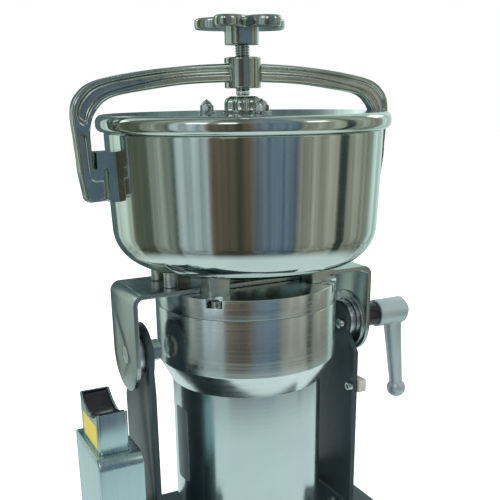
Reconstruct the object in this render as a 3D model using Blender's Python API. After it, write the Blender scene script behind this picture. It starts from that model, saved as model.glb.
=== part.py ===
"""Benchtop high-speed grinder. A bowl and the motor under it tilt together in a forked stand.

Metres, +Z up, front is -Y. The tilt axis runs along X at height TILT_Z.
Each sub-part is modelled about the machine's own axis. At the end everything is moved by AXIS_X,
so that the middle of the whole outline stands over the origin.
"""
import math

import bmesh
import bpy
from mathutils import Matrix, Vector

# Clearances
GAP = 0.0003
RUN = 0.0003

# Stand
FOOT_H = 0.020
FOOT_R = 0.015
PLATE_T = 0.006
PLATE_HALF_Y = 0.088
PLATE_CORNER = 0.014
FOOT_INSET = 0.022
SCREW_R = 0.003
SCREW_HEAD_R = 0.0055
SCREW_HEAD_H = 0.004

# Motor, up and down from the tilt axis
TILT_Z = 0.225
CASING_R = 0.071
CASING_WALL = 0.002
CASING_FILLET = 0.028
CASING_DROP = 0.155
SHIELD_R = CASING_R + 0.013
SHIELD_BORE_R = CASING_R - 0.005
SHIELD_RISE = 0.056
UPPER_SHIELD_H = 0.0175
LOWER_SHIELD_H = 0.0735
SHIELD_CHAMFER_H = 0.022
SHIELD_SEAT = 0.006
SHIELD_TOP = TILT_Z + SHIELD_RISE
SHIELD_SEAM = SHIELD_TOP - UPPER_SHIELD_H
SHIELD_BOTTOM = SHIELD_SEAM - LOWER_SHIELD_H
SHIELD_CHAMFER_Z = SHIELD_BOTTOM + SHIELD_CHAMFER_H
CASING_BOTTOM = SHIELD_BOTTOM - CASING_DROP
NOTCH_W = 0.014
NOTCH_DEEP = 0.012
NOTCH_H = 0.0075
NOTCH_SCREW_R = 0.0048
NOTCH_SCREW_H = 0.0052
SHAFT_R = 0.008
SHAFT_BOTTOM = CASING_BOTTOM + 0.0255
BEARING_R = 0.020
BEARING_H = 0.012
STATOR_BOTTOM = CASING_BOTTOM + 0.065
STATOR_TOP = STATOR_BOTTOM + 0.065
ROTOR_R = 0.036
COIL_H = 0.016
CARRIER_BOTTOM = CASING_BOTTOM + 0.029

# Fork, outside the motor
FORK_X = SHIELD_R + 0.023
FORK_T = 0.005
LEFT_HEAD_R = 0.027
LEFT_FRONT = 0.027
RIGHT_HEAD_R = 0.0195
RIGHT_FRONT = 0.033
FORK_REAR = 0.046
FORK_SHOULDER = 0.055
FORK_FLARE = 0.014
FLANGE_W = 0.026
FLANGE_BOLT_Y = 0.028

# Pivots
PIVOT_DISC_R = RIGHT_HEAD_R
PIVOT_SCREW_CIRCLE = 0.0124
JOURNAL_R = 0.009
PIVOT_SHAFT_R = 0.008
STUD_R = 0.005
PIVOT_WASHER_R = 0.0105
PIVOT_WASHER_T = 0.0045
PIVOT_NUT_R = 0.0105
PIVOT_NUT_T = 0.008

# Tilting bracket, outside the fork
STRAP_X = FORK_X + 0.013
STRAP_T = 0.004
STRAP_HALF_Y = 0.032
STRAP_BEND_R = 0.009
EAR_RING_R = STRAP_HALF_Y - 0.003
EAR_RING_T = 0.003

# Bowl
BOWL_STANDOFF = 0.015
BOWL_BOTTOM = SHIELD_TOP + STRAP_T + BOWL_STANDOFF
BOWL_SIDE_R = 0.1182
BOWL_FLARE = 0.0025
BOWL_RIM_R = BOWL_SIDE_R + BOWL_FLARE
BOWL_H = 0.114
BOWL_RIM_Z = BOWL_BOTTOM + BOWL_H
BOWL_CORNER = 0.033
BOWL_WALL = 0.0025
POST_X = 0.050
POST_Y = 0.0425
POST_W = 0.019
SPACER_X = BOWL_SIDE_R - 0.0382
SPACER_Y = 0.016
SPACER_R = 0.006

# Blades
BLADE_REACH = BOWL_SIDE_R - 0.0242
BLADE_W = 0.026
BLADE_T = 0.003
BLADE_PITCH_Z = 0.018
BLADE_FIRST_Z = BOWL_BOTTOM + 0.014
BLADE_COUNT = 3
COLLAR_R = 0.014

# Lid
LID_LIP = 0.0066
LID_R = BOWL_RIM_R + LID_LIP
LID_H = 0.014
LID_TOP = BOWL_RIM_Z + LID_H
LID_EDGE_R = 0.006
LID_SKIN = 0.0025
SEAL_ROOM = 0.004
LID_PLUG_R = BOWL_RIM_R - BOWL_WALL - SEAL_ROOM
LID_PLUG_BOTTOM = BOWL_RIM_Z - 0.007
LID_HUB_R = 0.0132
LID_HUB_FOOT_R = 0.0182
LID_HUB_H = 0.0135
NUT_CIRCLE_R = 0.0315
NUT_R = 0.0072
NUT_FIRST_DEG = 153.0

# Lugs on the bowl, for the arm's hooks
LUG_TOP = BOWL_RIM_Z - 0.0135
LUG_H = 0.013
LUG_BOTTOM = LUG_TOP - LUG_H
LUG_BLOCK_H = 0.040
LUG_BLOCK_X = BOWL_RIM_R + 0.0061
LUG_REACH = LUG_BLOCK_X + 0.0097
LUG_HALF_Y = 0.010

# Clamp arm. Its two edges are drawn in shares of their own reach and of the rise from the hook.
HOOK_CLEAR = 0.0011
TOE_INNER = LUG_BLOCK_X + HOOK_CLEAR
TOE_BOTTOM = LUG_TOP - LUG_BLOCK_H
ARM_IN = LUG_REACH + HOOK_CLEAR
ARM_T = 0.0134
ARM_OUT = ARM_IN + ARM_T
ARM_TOP = LID_TOP + 0.0403
ARM_HALF_Y = 0.0065
ARM_OUTER = ((0.0, 1.0), (0.331, 0.974), (0.629, 0.916), (0.868, 0.827),
             (0.967, 0.700), (1.0, 0.540), (0.993, 0.287), (0.982, -0.027))
ARM_INNER = ((0.0, 0.815), (0.378, 0.793), (0.676, 0.731), (0.865, 0.670),
             (0.956, 0.552), (0.997, 0.392), (1.0, 0.195), (0.997, 0.0))
ARM_WEB_DEEP = 0.0028
ARM_WEB_FROM = 0.24
ARM_WEB_TO = 0.76
BOSS_R = 0.0156
BOSS_H = 0.025
BOSS_TOP = ARM_TOP + 0.0047
BOSS_BOTTOM = BOSS_TOP - BOSS_H

# Clamp screw and knob
CLAMP_SCREW_R = 0.0065
PAD_R = CLAMP_SCREW_R - 0.0005
PAD_H = 0.003
KNOB_HUB_BOTTOM = BOSS_TOP + 0.010
KNOB_HUB_R = 0.0150
KNOB_BOTTOM = KNOB_HUB_BOTTOM + 0.011
KNOB_T = 0.0108
KNOB_TOP = KNOB_BOTTOM + KNOB_T
KNOB_R = 0.0405
KNOB_VALLEY_R = 0.0215
KNOB_LOBES = 5
KNOB_FIRST_DEG = 2.3
KNOB_EDGE = 0.0022

# Clamp lever
BUSH_R = 0.012
BUSH_END = STRAP_X + 0.0369
LEVER_HUB_R = 0.014
LEVER_HUB_END = BUSH_END + 0.0311
LEVER_ROOT_X = BUSH_END + 0.0151
LEVER_BALL_X = BUSH_END + 0.0256
LEVER_BALL_Z = TILT_Z - 0.089
LEVER_BALL_R = 0.010
LEVER_ROOT_R = 0.0095
LEVER_TIP_R = 0.0066

# Stop block
STOP_Y = -0.029
STOP_Z = TILT_Z - 0.0615
STOP_W = 0.014
STOP_H = 0.013
STOP_T = 0.0082

# Control box, outside the bracket's left leg, with the switch guard on it
BOX_RIGHT = STRAP_X + 0.007
BOX_W = 0.039
BOX_LEFT = BOX_RIGHT + BOX_W
BOX_FRONT = 0.060
BOX_REAR = 0.015
BOX_TOP = 0.158
BOX_FOLD = 0.010
GUARD_LEFT = BOX_LEFT - 0.004
GUARD_W = 0.0265
GUARD_RIGHT = GUARD_LEFT - GUARD_W
GUARD_FRONT = BOX_FRONT - BOX_FOLD - 0.001
GUARD_REAR = 0.005
GUARD_H = 0.039
GUARD_TOP = BOX_TOP + GUARD_H
GUARD_SCOOP = 0.010
GUARD_WALL = 0.002
ROCKER_AXIS_Z = GUARD_TOP - 0.015
ROCKER_R = 0.016
ROCKER_HALF_Y = 0.0222
GLAND_R = 0.010
GLAND_BORE_R = 0.0045
GLAND_Z = 0.060

# The lever's ball and the base plate are the outermost pieces to the right and left
PLATE_LEFT = BOX_LEFT + 0.006
PLATE_RIGHT = STRAP_X + 0.016
AXIS_X = (PLATE_LEFT - LEVER_BALL_X - LEVER_BALL_R) / 2

SEG_BIG = 36
SEG_MID = 24
SEG_SMALL = 14
ARC_STEPS = 6

PLATE_Z = FOOT_H
DECK_Z = FOOT_H + PLATE_T
FORK_MID_Y = (FORK_REAR - RIGHT_FRONT) / 2

for old in list(bpy.data.objects):
    bpy.data.objects.remove(old, do_unlink=True)


def material(name, colour, roughness, metallic):
    mat = bpy.data.materials.new(name)
    mat.use_nodes = True
    shader = mat.node_tree.nodes["Principled BSDF"]
    shader.inputs["Base Color"].default_value = (*colour, 1.0)
    shader.inputs["Roughness"].default_value = roughness
    shader.inputs["Metallic"].default_value = metallic
    mat.diffuse_color = (*colour, 1.0)
    return mat


POLISHED = material("polished_steel", (0.78, 0.80, 0.79), 0.08, 1.0)
BRUSHED = material("brushed_steel", (0.62, 0.65, 0.65), 0.30, 1.0)
CHROME = material("chrome", (0.70, 0.74, 0.74), 0.05, 1.0)
ALUMINIUM = material("turned_aluminium", (0.80, 0.84, 0.84), 0.18, 1.0)
BLACK_PAINT = material("black_paint", (0.035, 0.045, 0.050), 0.35, 0.0)
SHEET = material("satin_sheet", (0.55, 0.62, 0.63), 0.35, 1.0)
LEVER_GREY = material("lever_grey", (0.40, 0.46, 0.48), 0.40, 0.6)
BLACK_PLASTIC = material("black_plastic", (0.02, 0.02, 0.022), 0.30, 0.0)
RUBBER = material("rubber", (0.03, 0.03, 0.03), 0.80, 0.0)
NYLON = material("nylon", (0.62, 0.60, 0.52), 0.50, 0.0)
IRON = material("core_iron", (0.25, 0.26, 0.27), 0.50, 1.0)
COPPER = material("copper", (0.70, 0.35, 0.18), 0.35, 1.0)
SILICONE = material("silicone", (0.75, 0.74, 0.70), 0.60, 0.0)


def add_object(name, bm, mat, smooth_deg=35.0):
    bmesh.ops.recalc_face_normals(bm, faces=bm.faces)
    mesh = bpy.data.meshes.new(name)
    bm.to_mesh(mesh)
    bm.free()
    mesh.shade_smooth()
    mesh.set_sharp_from_angle(angle=math.radians(smooth_deg))
    obj = bpy.data.objects.new(name, mesh)
    bpy.context.scene.collection.objects.link(obj)
    if mat is not None:
        mesh.materials.append(mat)
    return obj


def add_turned(bm, profile, segments, matrix=Matrix()):
    """Turn a profile of (radius, height) about Z. A profile that starts and ends off the axis is closed."""
    rings = []
    for radius, height in profile:
        if radius < 1e-7:
            rings.append([bm.verts.new(matrix @ Vector((0.0, 0.0, height)))])
            continue
        ring = []
        for step in range(segments):
            angle = math.tau * step / segments
            place = Vector((radius * math.cos(angle), radius * math.sin(angle), height))
            ring.append(bm.verts.new(matrix @ place))
        rings.append(ring)
    pairs = list(zip(rings, rings[1:]))
    if len(rings[0]) > 1 and len(rings[-1]) > 1:
        pairs.append((rings[-1], rings[0]))
    for one, two in pairs:
        for step in range(segments):
            after = (step + 1) % segments
            if len(one) == 1 and len(two) == 1:
                continue
            if len(one) == 1:
                bm.faces.new((one[0], two[step], two[after]))
            elif len(two) == 1:
                bm.faces.new((one[after], one[step], two[0]))
            else:
                bm.faces.new((one[after], one[step], two[step], two[after]))


def add_prism(bm, outline, low, high, matrix=Matrix()):
    """Extrude an outline of (x, y) from low to high along Z."""
    bottom = [bm.verts.new(matrix @ Vector((x, y, low))) for x, y in outline]
    top = [bm.verts.new(matrix @ Vector((x, y, high))) for x, y in outline]
    bm.faces.new(bottom)
    bm.faces.new(top)
    count = len(outline)
    for step in range(count):
        after = (step + 1) % count
        bm.faces.new((bottom[step], bottom[after], top[after], top[step]))


def turned(name, profile, mat, segments=SEG_MID, matrix=Matrix()):
    bm = bmesh.new()
    add_turned(bm, profile, segments, matrix)
    return add_object(name, bm, mat)


def prism(name, outline, low, high, mat, matrix=Matrix()):
    bm = bmesh.new()
    add_prism(bm, outline, low, high, matrix)
    return add_object(name, bm, mat)


def arc(centre, radius, start_deg, end_deg, steps=ARC_STEPS):
    points = []
    for step in range(steps + 1):
        angle = math.radians(start_deg + (end_deg - start_deg) * step / steps)
        points.append((centre[0] + radius * math.cos(angle), centre[1] + radius * math.sin(angle)))
    return points


def rounded_rectangle(x0, x1, y0, y1, radius, steps=ARC_STEPS):
    return (arc((x1 - radius, y1 - radius), radius, 0, 90, steps)
            + arc((x0 + radius, y1 - radius), radius, 90, 180, steps)
            + arc((x0 + radius, y0 + radius), radius, 180, 270, steps)
            + arc((x1 - radius, y0 + radius), radius, 270, 360, steps))


def circle(radius, centre=(0.0, 0.0), segments=SEG_SMALL, start_deg=0.0):
    return arc(centre, radius, start_deg, start_deg + 360.0 * (segments - 1) / segments, segments - 1)


def tube(outer, inner, low, high):
    """The closed profile of a plain ring."""
    return [(outer, low), (outer, high), (inner, high), (inner, low)]


def spline(points, steps):
    """A smooth curve through the points."""
    curve = []
    for index in range(len(points) - 1):
        before = Vector(points[max(index - 1, 0)])
        start = Vector(points[index])
        end = Vector(points[index + 1])
        after = Vector(points[min(index + 2, len(points) - 1)])
        for step in range(steps):
            t = step / steps
            spot = (start * 2 + (end - before) * t
                    + (before * 2 - start * 5 + end * 4 - after) * t ** 2
                    + (start * 3 - before - end * 3 + after) * t ** 3) / 2
            curve.append((spot.x, spot.y))
    curve.append(tuple(points[-1]))
    return curve


# A turned piece whose own +Z points along the machine's +X
ALONG_X = Matrix.Rotation(math.radians(90), 4, "Y")
# An outline of (Y, Z), extruded along +X
FROM_SIDE = Matrix(((0, 0, 1, 0), (1, 0, 0, 0), (0, 1, 0, 0), (0, 0, 0, 1)))
# An outline of (X, Z), extruded towards -Y
FROM_FRONT = Matrix(((1, 0, 0, 0), (0, 0, -1, 0), (0, 1, 0, 0), (0, 0, 0, 1)))


def at(x=0.0, y=0.0, z=0.0):
    return Matrix.Translation((x, y, z))


def combine(obj, tool, operation):
    """Join, cut or intersect with a tool object, which is only a guide."""
    tool.hide_render = True
    tool.display_type = "WIRE"
    modifier = obj.modifiers.new(tool.name, "BOOLEAN")
    modifier.operation = operation
    modifier.solver = "EXACT"
    modifier.object = tool
    return obj


def bevel(obj, width, segments=2, angle_deg=40.0):
    modifier = obj.modifiers.new("edges", "BEVEL")
    modifier.width = width
    modifier.segments = segments
    modifier.limit_method = "ANGLE"
    modifier.angle_limit = math.radians(angle_deg)
    return obj


def drill(obj, radius, low, high, places, segments=SEG_SMALL):
    """Cut round holes. Each place is a matrix whose Z is the hole's axis."""
    bm = bmesh.new()
    for place in places:
        add_prism(bm, circle(radius, segments=segments), low, high, place)
    return combine(obj, add_object(obj.name + "_drill_%d" % len(obj.modifiers), bm, None), "DIFFERENCE")


def drop(obj, drop_z):
    """Move an object's origin onto its joint axis, with its shape left where it is."""
    obj.data.transform(Matrix.Translation(-Vector(drop_z)))
    obj.location = Vector(obj.location) + Vector(drop_z)
    return obj


def foot_places():
    places = []
    for x in (-PLATE_LEFT + FOOT_INSET, PLATE_RIGHT - FOOT_INSET):
        for y in (-PLATE_HALF_Y + FOOT_INSET, PLATE_HALF_Y - FOOT_INSET):
            places.append((x, y))
    return places


def flange_places():
    middle = FORK_X - FORK_T - FLANGE_W / 2
    rows = (-FLANGE_BOLT_Y, FLANGE_BOLT_Y)
    return [(side * middle, FORK_MID_Y + y) for side in (-1, 1) for y in rows]


def cap_screw_profile(head_r, head_h, shank_r, shank):
    """Head up from zero, shank down, with the hex socket in the head as a round recess."""
    socket_r = head_r * 0.5
    return [(0.0, -shank), (shank_r, -shank), (shank_r, 0.0), (head_r, 0.0), (head_r, head_h * 0.85),
            (head_r * 0.88, head_h), (socket_r, head_h), (socket_r, head_h * 0.5), (0.0, head_h * 0.5)]


def add_heads(obj, places, radius, height, sides=10):
    """Join cap screw heads to the piece that they are screwed down on. Each place is a matrix."""
    bm = bmesh.new()
    sunk = -0.001
    socket = radius * 0.5
    head = [(0.0, sunk), (radius, sunk), (radius, height * 0.85), (radius * 0.88, height), (socket, height),
            (socket, height * 0.5), (0.0, height * 0.5)]
    for place in places:
        add_turned(bm, head, sides, place)
    return combine(obj, add_object(obj.name + "_heads", bm, None), "UNION")


def make_base():
    plate = prism("base_plate",
                  rounded_rectangle(-PLATE_LEFT, PLATE_RIGHT, -PLATE_HALF_Y, PLATE_HALF_Y, PLATE_CORNER, 4),
                  PLATE_Z, DECK_Z, BLACK_PAINT)
    add_heads(plate, [at(x, y, DECK_Z) for x, y in foot_places()], SCREW_HEAD_R, SCREW_HEAD_H)
    foot = [(0.0, 0.0), (FOOT_R * 0.86, 0.0), (FOOT_R, FOOT_H * 0.12), (FOOT_R * 0.84, FOOT_H - GAP),
            (0.0, FOOT_H - GAP)]
    names = ("front_left_foot", "rear_left_foot", "front_right_foot", "rear_right_foot")
    for name, (x, y) in zip(names, foot_places()):
        turned(name, foot, RUBBER, 20, at(x, y, 0))


def fork_outline(head_r, front):
    """The side view of an upright, as (Y, Z), with a round head at the tilt axis and a flared foot."""
    foot = DECK_Z + GAP
    points = arc((FORK_REAR + FORK_FLARE, foot + FORK_FLARE), FORK_FLARE, 270, 180, 4)
    points += [(FORK_REAR, TILT_Z - FORK_SHOULDER)]
    points += arc((0.0, TILT_Z), head_r, -25, 205, 14)
    points += [(-front, TILT_Z - head_r - 0.006)]
    points += arc((-front - FORK_FLARE, foot + FORK_FLARE), FORK_FLARE, 0, -90, 4)
    return points


def pivot_screw_places(reach):
    """Where the screws of the right pivot disc start, with Z pointing out to the right."""
    places = []
    for angle in (180, 60, -60):
        turn = math.radians(angle)
        place = ALONG_X.copy()
        radius = PIVOT_SCREW_CIRCLE
        place.translation = (reach, radius * math.cos(turn), TILT_Z + radius * math.sin(turn))
        places.append(place)
    return places


def make_upright(name, side):
    """One fork arm, bent from plate: a wall with an inward flange, cut to its side view."""
    foot = DECK_Z + GAP
    bend = FORK_T * 1.6
    head_r, front = (LEFT_HEAD_R, LEFT_FRONT) if side < 0 else (RIGHT_HEAD_R, RIGHT_FRONT)
    top = TILT_Z + head_r + 0.01
    outer = arc((FORK_X - bend, foot + bend), bend, 0, -90, 4)
    inner = arc((FORK_X - bend, foot + bend), bend - FORK_T, -90, 0, 4)
    section = [(FORK_X, top)] + outer + [(FORK_X - FORK_T - FLANGE_W, foot)]
    section += [(FORK_X - FORK_T - FLANGE_W, foot + FORK_T)] + inner + [(FORK_X - FORK_T, top)]
    section = [(side * x, z) for x, z in section]
    reach = FORK_REAR + FORK_FLARE + 0.01
    wall = prism(name, section, -reach, reach, BLACK_PAINT, FROM_FRONT)
    outline = [(y, z - 0.001 if z < foot + 0.0001 else z) for y, z in fork_outline(head_r, front)]
    guide = prism(name + "_outline", outline, -FORK_X - 0.01, FORK_X + 0.01, None, FROM_SIDE)
    combine(wall, guide, "INTERSECT")
    deck = foot + FORK_T
    add_heads(wall, [at(x, y, deck) for x, y in flange_places() if x * side > 0], SCREW_HEAD_R, SCREW_HEAD_H)
    low = side * FORK_X - 0.01
    if side < 0:
        across = ALONG_X.copy()
        across.translation = (0, 0, TILT_Z)
        drill(wall, PIVOT_SHAFT_R + RUN, low, low + 0.02, [across], 16)
    else:
        stop = ALONG_X.copy()
        stop.translation = (0, STOP_Y, STOP_Z)
        drill(wall, SCREW_R + GAP, low, low + 0.02, [stop, pivot_screw_places(0.0)[0]], 12)
        inner_face = Matrix.Rotation(math.pi, 4, "Y")
        heads = [place @ inner_face for place in pivot_screw_places(FORK_X - FORK_T)[1:]]
        add_heads(wall, heads, NOTCH_SCREW_R, NOTCH_SCREW_H)
    return wall


def make_fork():
    make_upright("left_upright", -1)
    make_upright("right_upright", 1)
    across = ALONG_X.copy()
    across.translation = (FORK_X + GAP, STOP_Y, STOP_Z)
    block = prism("tilt_stop", rounded_rectangle(-STOP_H / 2, STOP_H / 2, -STOP_W / 2, STOP_W / 2, 0.0015, 2),
                  0.0, STOP_T, NYLON, across)
    drill(block, SCREW_R + GAP, -0.001, STOP_T * 0.75, [across], 12)
    inward = Matrix.Rotation(math.radians(-90), 4, "Y")
    inward.translation = (FORK_X - FORK_T - GAP, STOP_Y, STOP_Z)
    screw = cap_screw_profile(0.0045, 0.004, SCREW_R, FORK_T + STOP_T * 0.6)
    turned("tilt_stop_screw", screw, CHROME, 12, inward)


def make_pivots():
    """Right: a polished disc carries the bracket and the clamp lever. Left: a plain shaft with its nut."""
    leg_inner = STRAP_X - STRAP_T
    disc_face = leg_inner - GAP
    start = FORK_X + GAP
    across = ALONG_X.copy()
    across.translation = (0, 0, TILT_Z)
    bore = STUD_R + RUN
    stud_depth = start + (disc_face - start) * 0.45
    edge = 0.0006
    disc = [(0.0, start), (PIVOT_DISC_R - edge, start), (PIVOT_DISC_R, start + edge),
            (PIVOT_DISC_R, disc_face - edge), (PIVOT_DISC_R - edge, disc_face), (JOURNAL_R, disc_face),
            (JOURNAL_R, STRAP_X + 0.001), (bore, STRAP_X + 0.001), (bore, stud_depth), (0.0, stud_depth)]
    carrier = turned("right_pivot_disc", disc, ALUMINIUM, 28, across)
    shank = 0.005
    place = pivot_screw_places(0.0)[0]
    drill(carrier, SCREW_R + GAP, start - 0.001, start + shank + GAP, [place], 12)
    inward = Matrix.Rotation(math.radians(-90), 4, "Y")
    inward.translation = place.translation + Vector((FORK_X - FORK_T - GAP, 0.0, 0.0))
    screw = cap_screw_profile(NOTCH_SCREW_R, NOTCH_SCREW_H, SCREW_R, FORK_T + 2 * GAP + shank)
    turned("right_pivot_screw", screw, CHROME, SEG_SMALL, inward)
    # The left side is turned the same way, with its own +Z towards -X
    outward = Matrix.Rotation(math.radians(-90), 4, "Y")
    outward.translation = (0, 0, TILT_Z)
    ring = tube(PIVOT_DISC_R, PIVOT_SHAFT_R + RUN, start, disc_face)
    turned("left_pivot_disc", ring, ALUMINIUM, 28, outward)
    inner_face = FORK_X - FORK_T
    washer_end = inner_face - GAP - PIVOT_WASHER_T
    ring = tube(PIVOT_WASHER_R, PIVOT_SHAFT_R + RUN, washer_end, inner_face - GAP)
    turned("left_pivot_washer", ring, NYLON, 24, outward)
    nut_end = washer_end - GAP - PIVOT_NUT_T
    thread_r = PIVOT_SHAFT_R * 0.7
    nut = prism("left_pivot_nut", circle(PIVOT_NUT_R, segments=6), nut_end, washer_end - GAP, CHROME, outward)
    drill(nut, thread_r + RUN, nut_end - 0.001, washer_end + 0.001, [outward], SEG_SMALL)
    shaft = [(0.0, nut_end - 0.001), (thread_r, nut_end - 0.001), (thread_r, washer_end - GAP),
             (PIVOT_SHAFT_R, washer_end - GAP), (PIVOT_SHAFT_R, STRAP_X - GAP), (0.0, STRAP_X - GAP)]
    turned("left_pivot_shaft", shaft, CHROME, 24, outward)


def make_bracket():
    """The inverted U that carries the head: bent from strip, with round ears at the tilt axis."""
    top = SHIELD_TOP + GAP + STRAP_T
    bottom = TILT_Z - STRAP_HALF_Y
    centre_x = STRAP_X - STRAP_BEND_R
    centre_z = top - STRAP_BEND_R
    right = [(STRAP_X, bottom - 0.01)] + arc((centre_x, centre_z), STRAP_BEND_R, 0, 90, 5)
    left = [(-x, z) for x, z in reversed(right)]
    thin = STRAP_BEND_R - STRAP_T
    inside = [(STRAP_X - STRAP_T, bottom - 0.01)] + arc((centre_x, centre_z), thin, 0, 90, 5)
    inside = [(-x, z) for x, z in inside] + list(reversed(inside))
    strap = prism("tilt_bracket", right + left + inside, -STRAP_HALF_Y, STRAP_HALF_Y, SHEET, FROM_FRONT)
    half = STRAP_HALF_Y + 0.0002
    ears = arc((0.0, TILT_Z), half, 180, 360, 14) + [(half, top + 0.01), (-half, top + 0.01)]
    guide = prism("tilt_bracket_outline", ears, -STRAP_X - 0.01, STRAP_X + 0.01, None, FROM_SIDE)
    combine(strap, guide, "INTERSECT")
    across = ALONG_X.copy()
    across.translation = (0, 0, TILT_Z)
    leg = STRAP_X - STRAP_T
    ring = tube(EAR_RING_R, PIVOT_DISC_R + 0.001, leg - EAR_RING_T, leg + 0.001)
    combine(strap, turned("ear_ring_guide", ring, None, 28, across), "UNION")
    drill(strap, JOURNAL_R + RUN, STRAP_X - 0.01, STRAP_X + 0.01, [across], 16)
    drill(strap, PIVOT_SHAFT_R + GAP, -STRAP_X - 0.01, -STRAP_X + 0.01, [across], 16)
    drill(strap, SHAFT_R + 0.004, top - 0.01, top + 0.01, [Matrix()], 24)


def make_motor():
    inner = CASING_R - CASING_WALL
    casing_top = SHIELD_BOTTOM + SHIELD_SEAT - GAP
    floor = CASING_BOTTOM + CASING_WALL
    centre = (CASING_R - CASING_FILLET, CASING_BOTTOM + CASING_FILLET)
    outside = [(0.0, CASING_BOTTOM)] + arc(centre, CASING_FILLET, -90, 0, 5) + [(CASING_R, casing_top)]
    within = [(inner, casing_top)] + arc(centre, CASING_FILLET - CASING_WALL, 0, -90, 3) + [(0.0, floor)]
    turned("motor_casing", outside + within, POLISHED, SEG_BIG)

    seat_r = CASING_R + GAP
    seat_z = SHIELD_BOTTOM + SHIELD_SEAT
    bearing_low = SHIELD_SEAM - GAP - BEARING_H
    web_z = bearing_low - 0.003
    lower = [(seat_r + 0.0012, SHIELD_BOTTOM), (SHIELD_R, SHIELD_CHAMFER_Z), (SHIELD_R, SHIELD_SEAM - GAP),
             (BEARING_R + GAP, SHIELD_SEAM - GAP), (BEARING_R + GAP, bearing_low - GAP),
             (BEARING_R * 0.8, bearing_low - GAP), (BEARING_R * 0.8, web_z), (SHIELD_BORE_R, web_z),
             (SHIELD_BORE_R, seat_z), (seat_r, seat_z), (seat_r, SHIELD_BOTTOM)]
    turned("lower_end_shield", lower, ALUMINIUM, SEG_BIG)
    upper = tube(SHIELD_R, SHAFT_R + 0.003, SHIELD_SEAM, SHIELD_TOP)
    shield = turned("upper_end_shield", upper, ALUMINIUM, SEG_BIG)
    bm = bmesh.new()
    screws = []
    for index in range(4):
        turn = Matrix.Rotation(math.radians(45 + 90 * index), 4, "Z")
        notch = rounded_rectangle(SHIELD_R - NOTCH_DEEP, SHIELD_R + 0.01, -NOTCH_W / 2, NOTCH_W / 2, 0.003, 3)
        add_prism(bm, notch, SHIELD_TOP - NOTCH_H, SHIELD_TOP + 0.01, turn)
        screws.append(turn @ at(SHIELD_R - NOTCH_W / 2, 0, SHIELD_TOP - NOTCH_H))
    combine(shield, add_object("notch_guide", bm, None), "DIFFERENCE")
    add_heads(shield, screws, NOTCH_SCREW_R, NOTCH_SCREW_H)
    bm = bmesh.new()
    half = POST_W / 2
    for x in (-POST_X, POST_X):
        for y in (-POST_Y, POST_Y):
            corner = rounded_rectangle(x - half, x + half, y - half, y + half, 0.0015, 2)
            add_prism(bm, corner, SHIELD_TOP - 0.002, BOWL_BOTTOM - GAP)
    combine(shield, add_object("post_guide", bm, None), "UNION")

    race_r = BEARING_R * 0.62
    shaft_bore = SHAFT_R + GAP
    turned("upper_bearing", tube(BEARING_R, shaft_bore, bearing_low, SHIELD_SEAM - 2 * GAP), CHROME, 18)
    carrier = [(inner - GAP, CARRIER_BOTTOM), (inner - GAP, CARRIER_BOTTOM + BEARING_H),
               (BEARING_R + GAP, CARRIER_BOTTOM + BEARING_H), (BEARING_R + GAP, CARRIER_BOTTOM + 0.002),
               (race_r, CARRIER_BOTTOM + 0.002), (race_r, CARRIER_BOTTOM)]
    turned("lower_bearing_carrier", carrier, ALUMINIUM, 20)
    low = CARRIER_BOTTOM + 0.002 + GAP
    turned("lower_bearing", tube(BEARING_R, shaft_bore, low, CARRIER_BOTTOM + BEARING_H), CHROME, 18)
    core = inner - GAP
    coil_out = inner - 0.008
    coil_in = ROTOR_R + 0.006
    air = ROTOR_R + 0.0008
    low = STATOR_BOTTOM - COIL_H
    high = STATOR_TOP + COIL_H
    turned("stator", [(core, STATOR_BOTTOM), (core, STATOR_TOP), (coil_out, STATOR_TOP), (coil_out, high),
                      (coil_in, high), (coil_in, STATOR_TOP), (air, STATOR_TOP), (air, STATOR_BOTTOM),
                      (coil_in, STATOR_BOTTOM), (coil_in, low), (coil_out, low), (coil_out, STATOR_BOTTOM)],
           COPPER, 20)
    rotor = tube(ROTOR_R, shaft_bore, STATOR_BOTTOM, STATOR_TOP)
    turned("rotor", rotor, IRON, 20)


def blade_heights():
    return [BLADE_FIRST_Z + BLADE_PITCH_Z * index for index in range(BLADE_COUNT)]


def make_spindle():
    """The motor shaft runs up through the bowl's floor and carries the blades, collars and nut."""
    last = blade_heights()[-1] + BLADE_T
    turned("motor_shaft", [(0.0, SHAFT_BOTTOM), (SHAFT_R, SHAFT_BOTTOM), (SHAFT_R, last + 0.011),
                           (SHAFT_R * 0.7, last + 0.013), (0.0, last + 0.013)], CHROME, 18)
    bore = SHAFT_R + GAP
    low = BOWL_BOTTOM + BOWL_WALL + 0.0065
    names = ("lower", "middle", "upper")
    for index, height in enumerate(blade_heights()):
        turned(names[index] + "_blade_collar", tube(COLLAR_R, bore, low, height - GAP), BRUSHED, 18)
        low = height + BLADE_T + GAP
        reach = BLADE_REACH * (1.0 - 0.08 * index)
        half = BLADE_W / 2
        side = [(COLLAR_R, half), (reach * 0.55, half), (reach - 0.004, half * 0.35), (reach, half * 0.1),
                (reach, -half * 0.55), (reach * 0.5, -half * 0.72), (COLLAR_R, -half)]
        outline = side + [(-x, -y) for x, y in side]
        turn = Matrix.Rotation(math.radians(60 * index + 15), 4, "Z")
        blade = prism(names[index] + "_blade", outline, height, height + BLADE_T, BRUSHED, turn)
        drill(blade, bore, height - 0.002, height + BLADE_T + 0.002, [Matrix()], 24)
        bevel(blade, 0.0008, 1, 60)
    nut = prism("blade_nut", circle(0.0125, segments=6), last + GAP, last + 0.0095, CHROME)
    drill(nut, bore, last - 0.002, last + 0.02, [Matrix()], 24)


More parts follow.
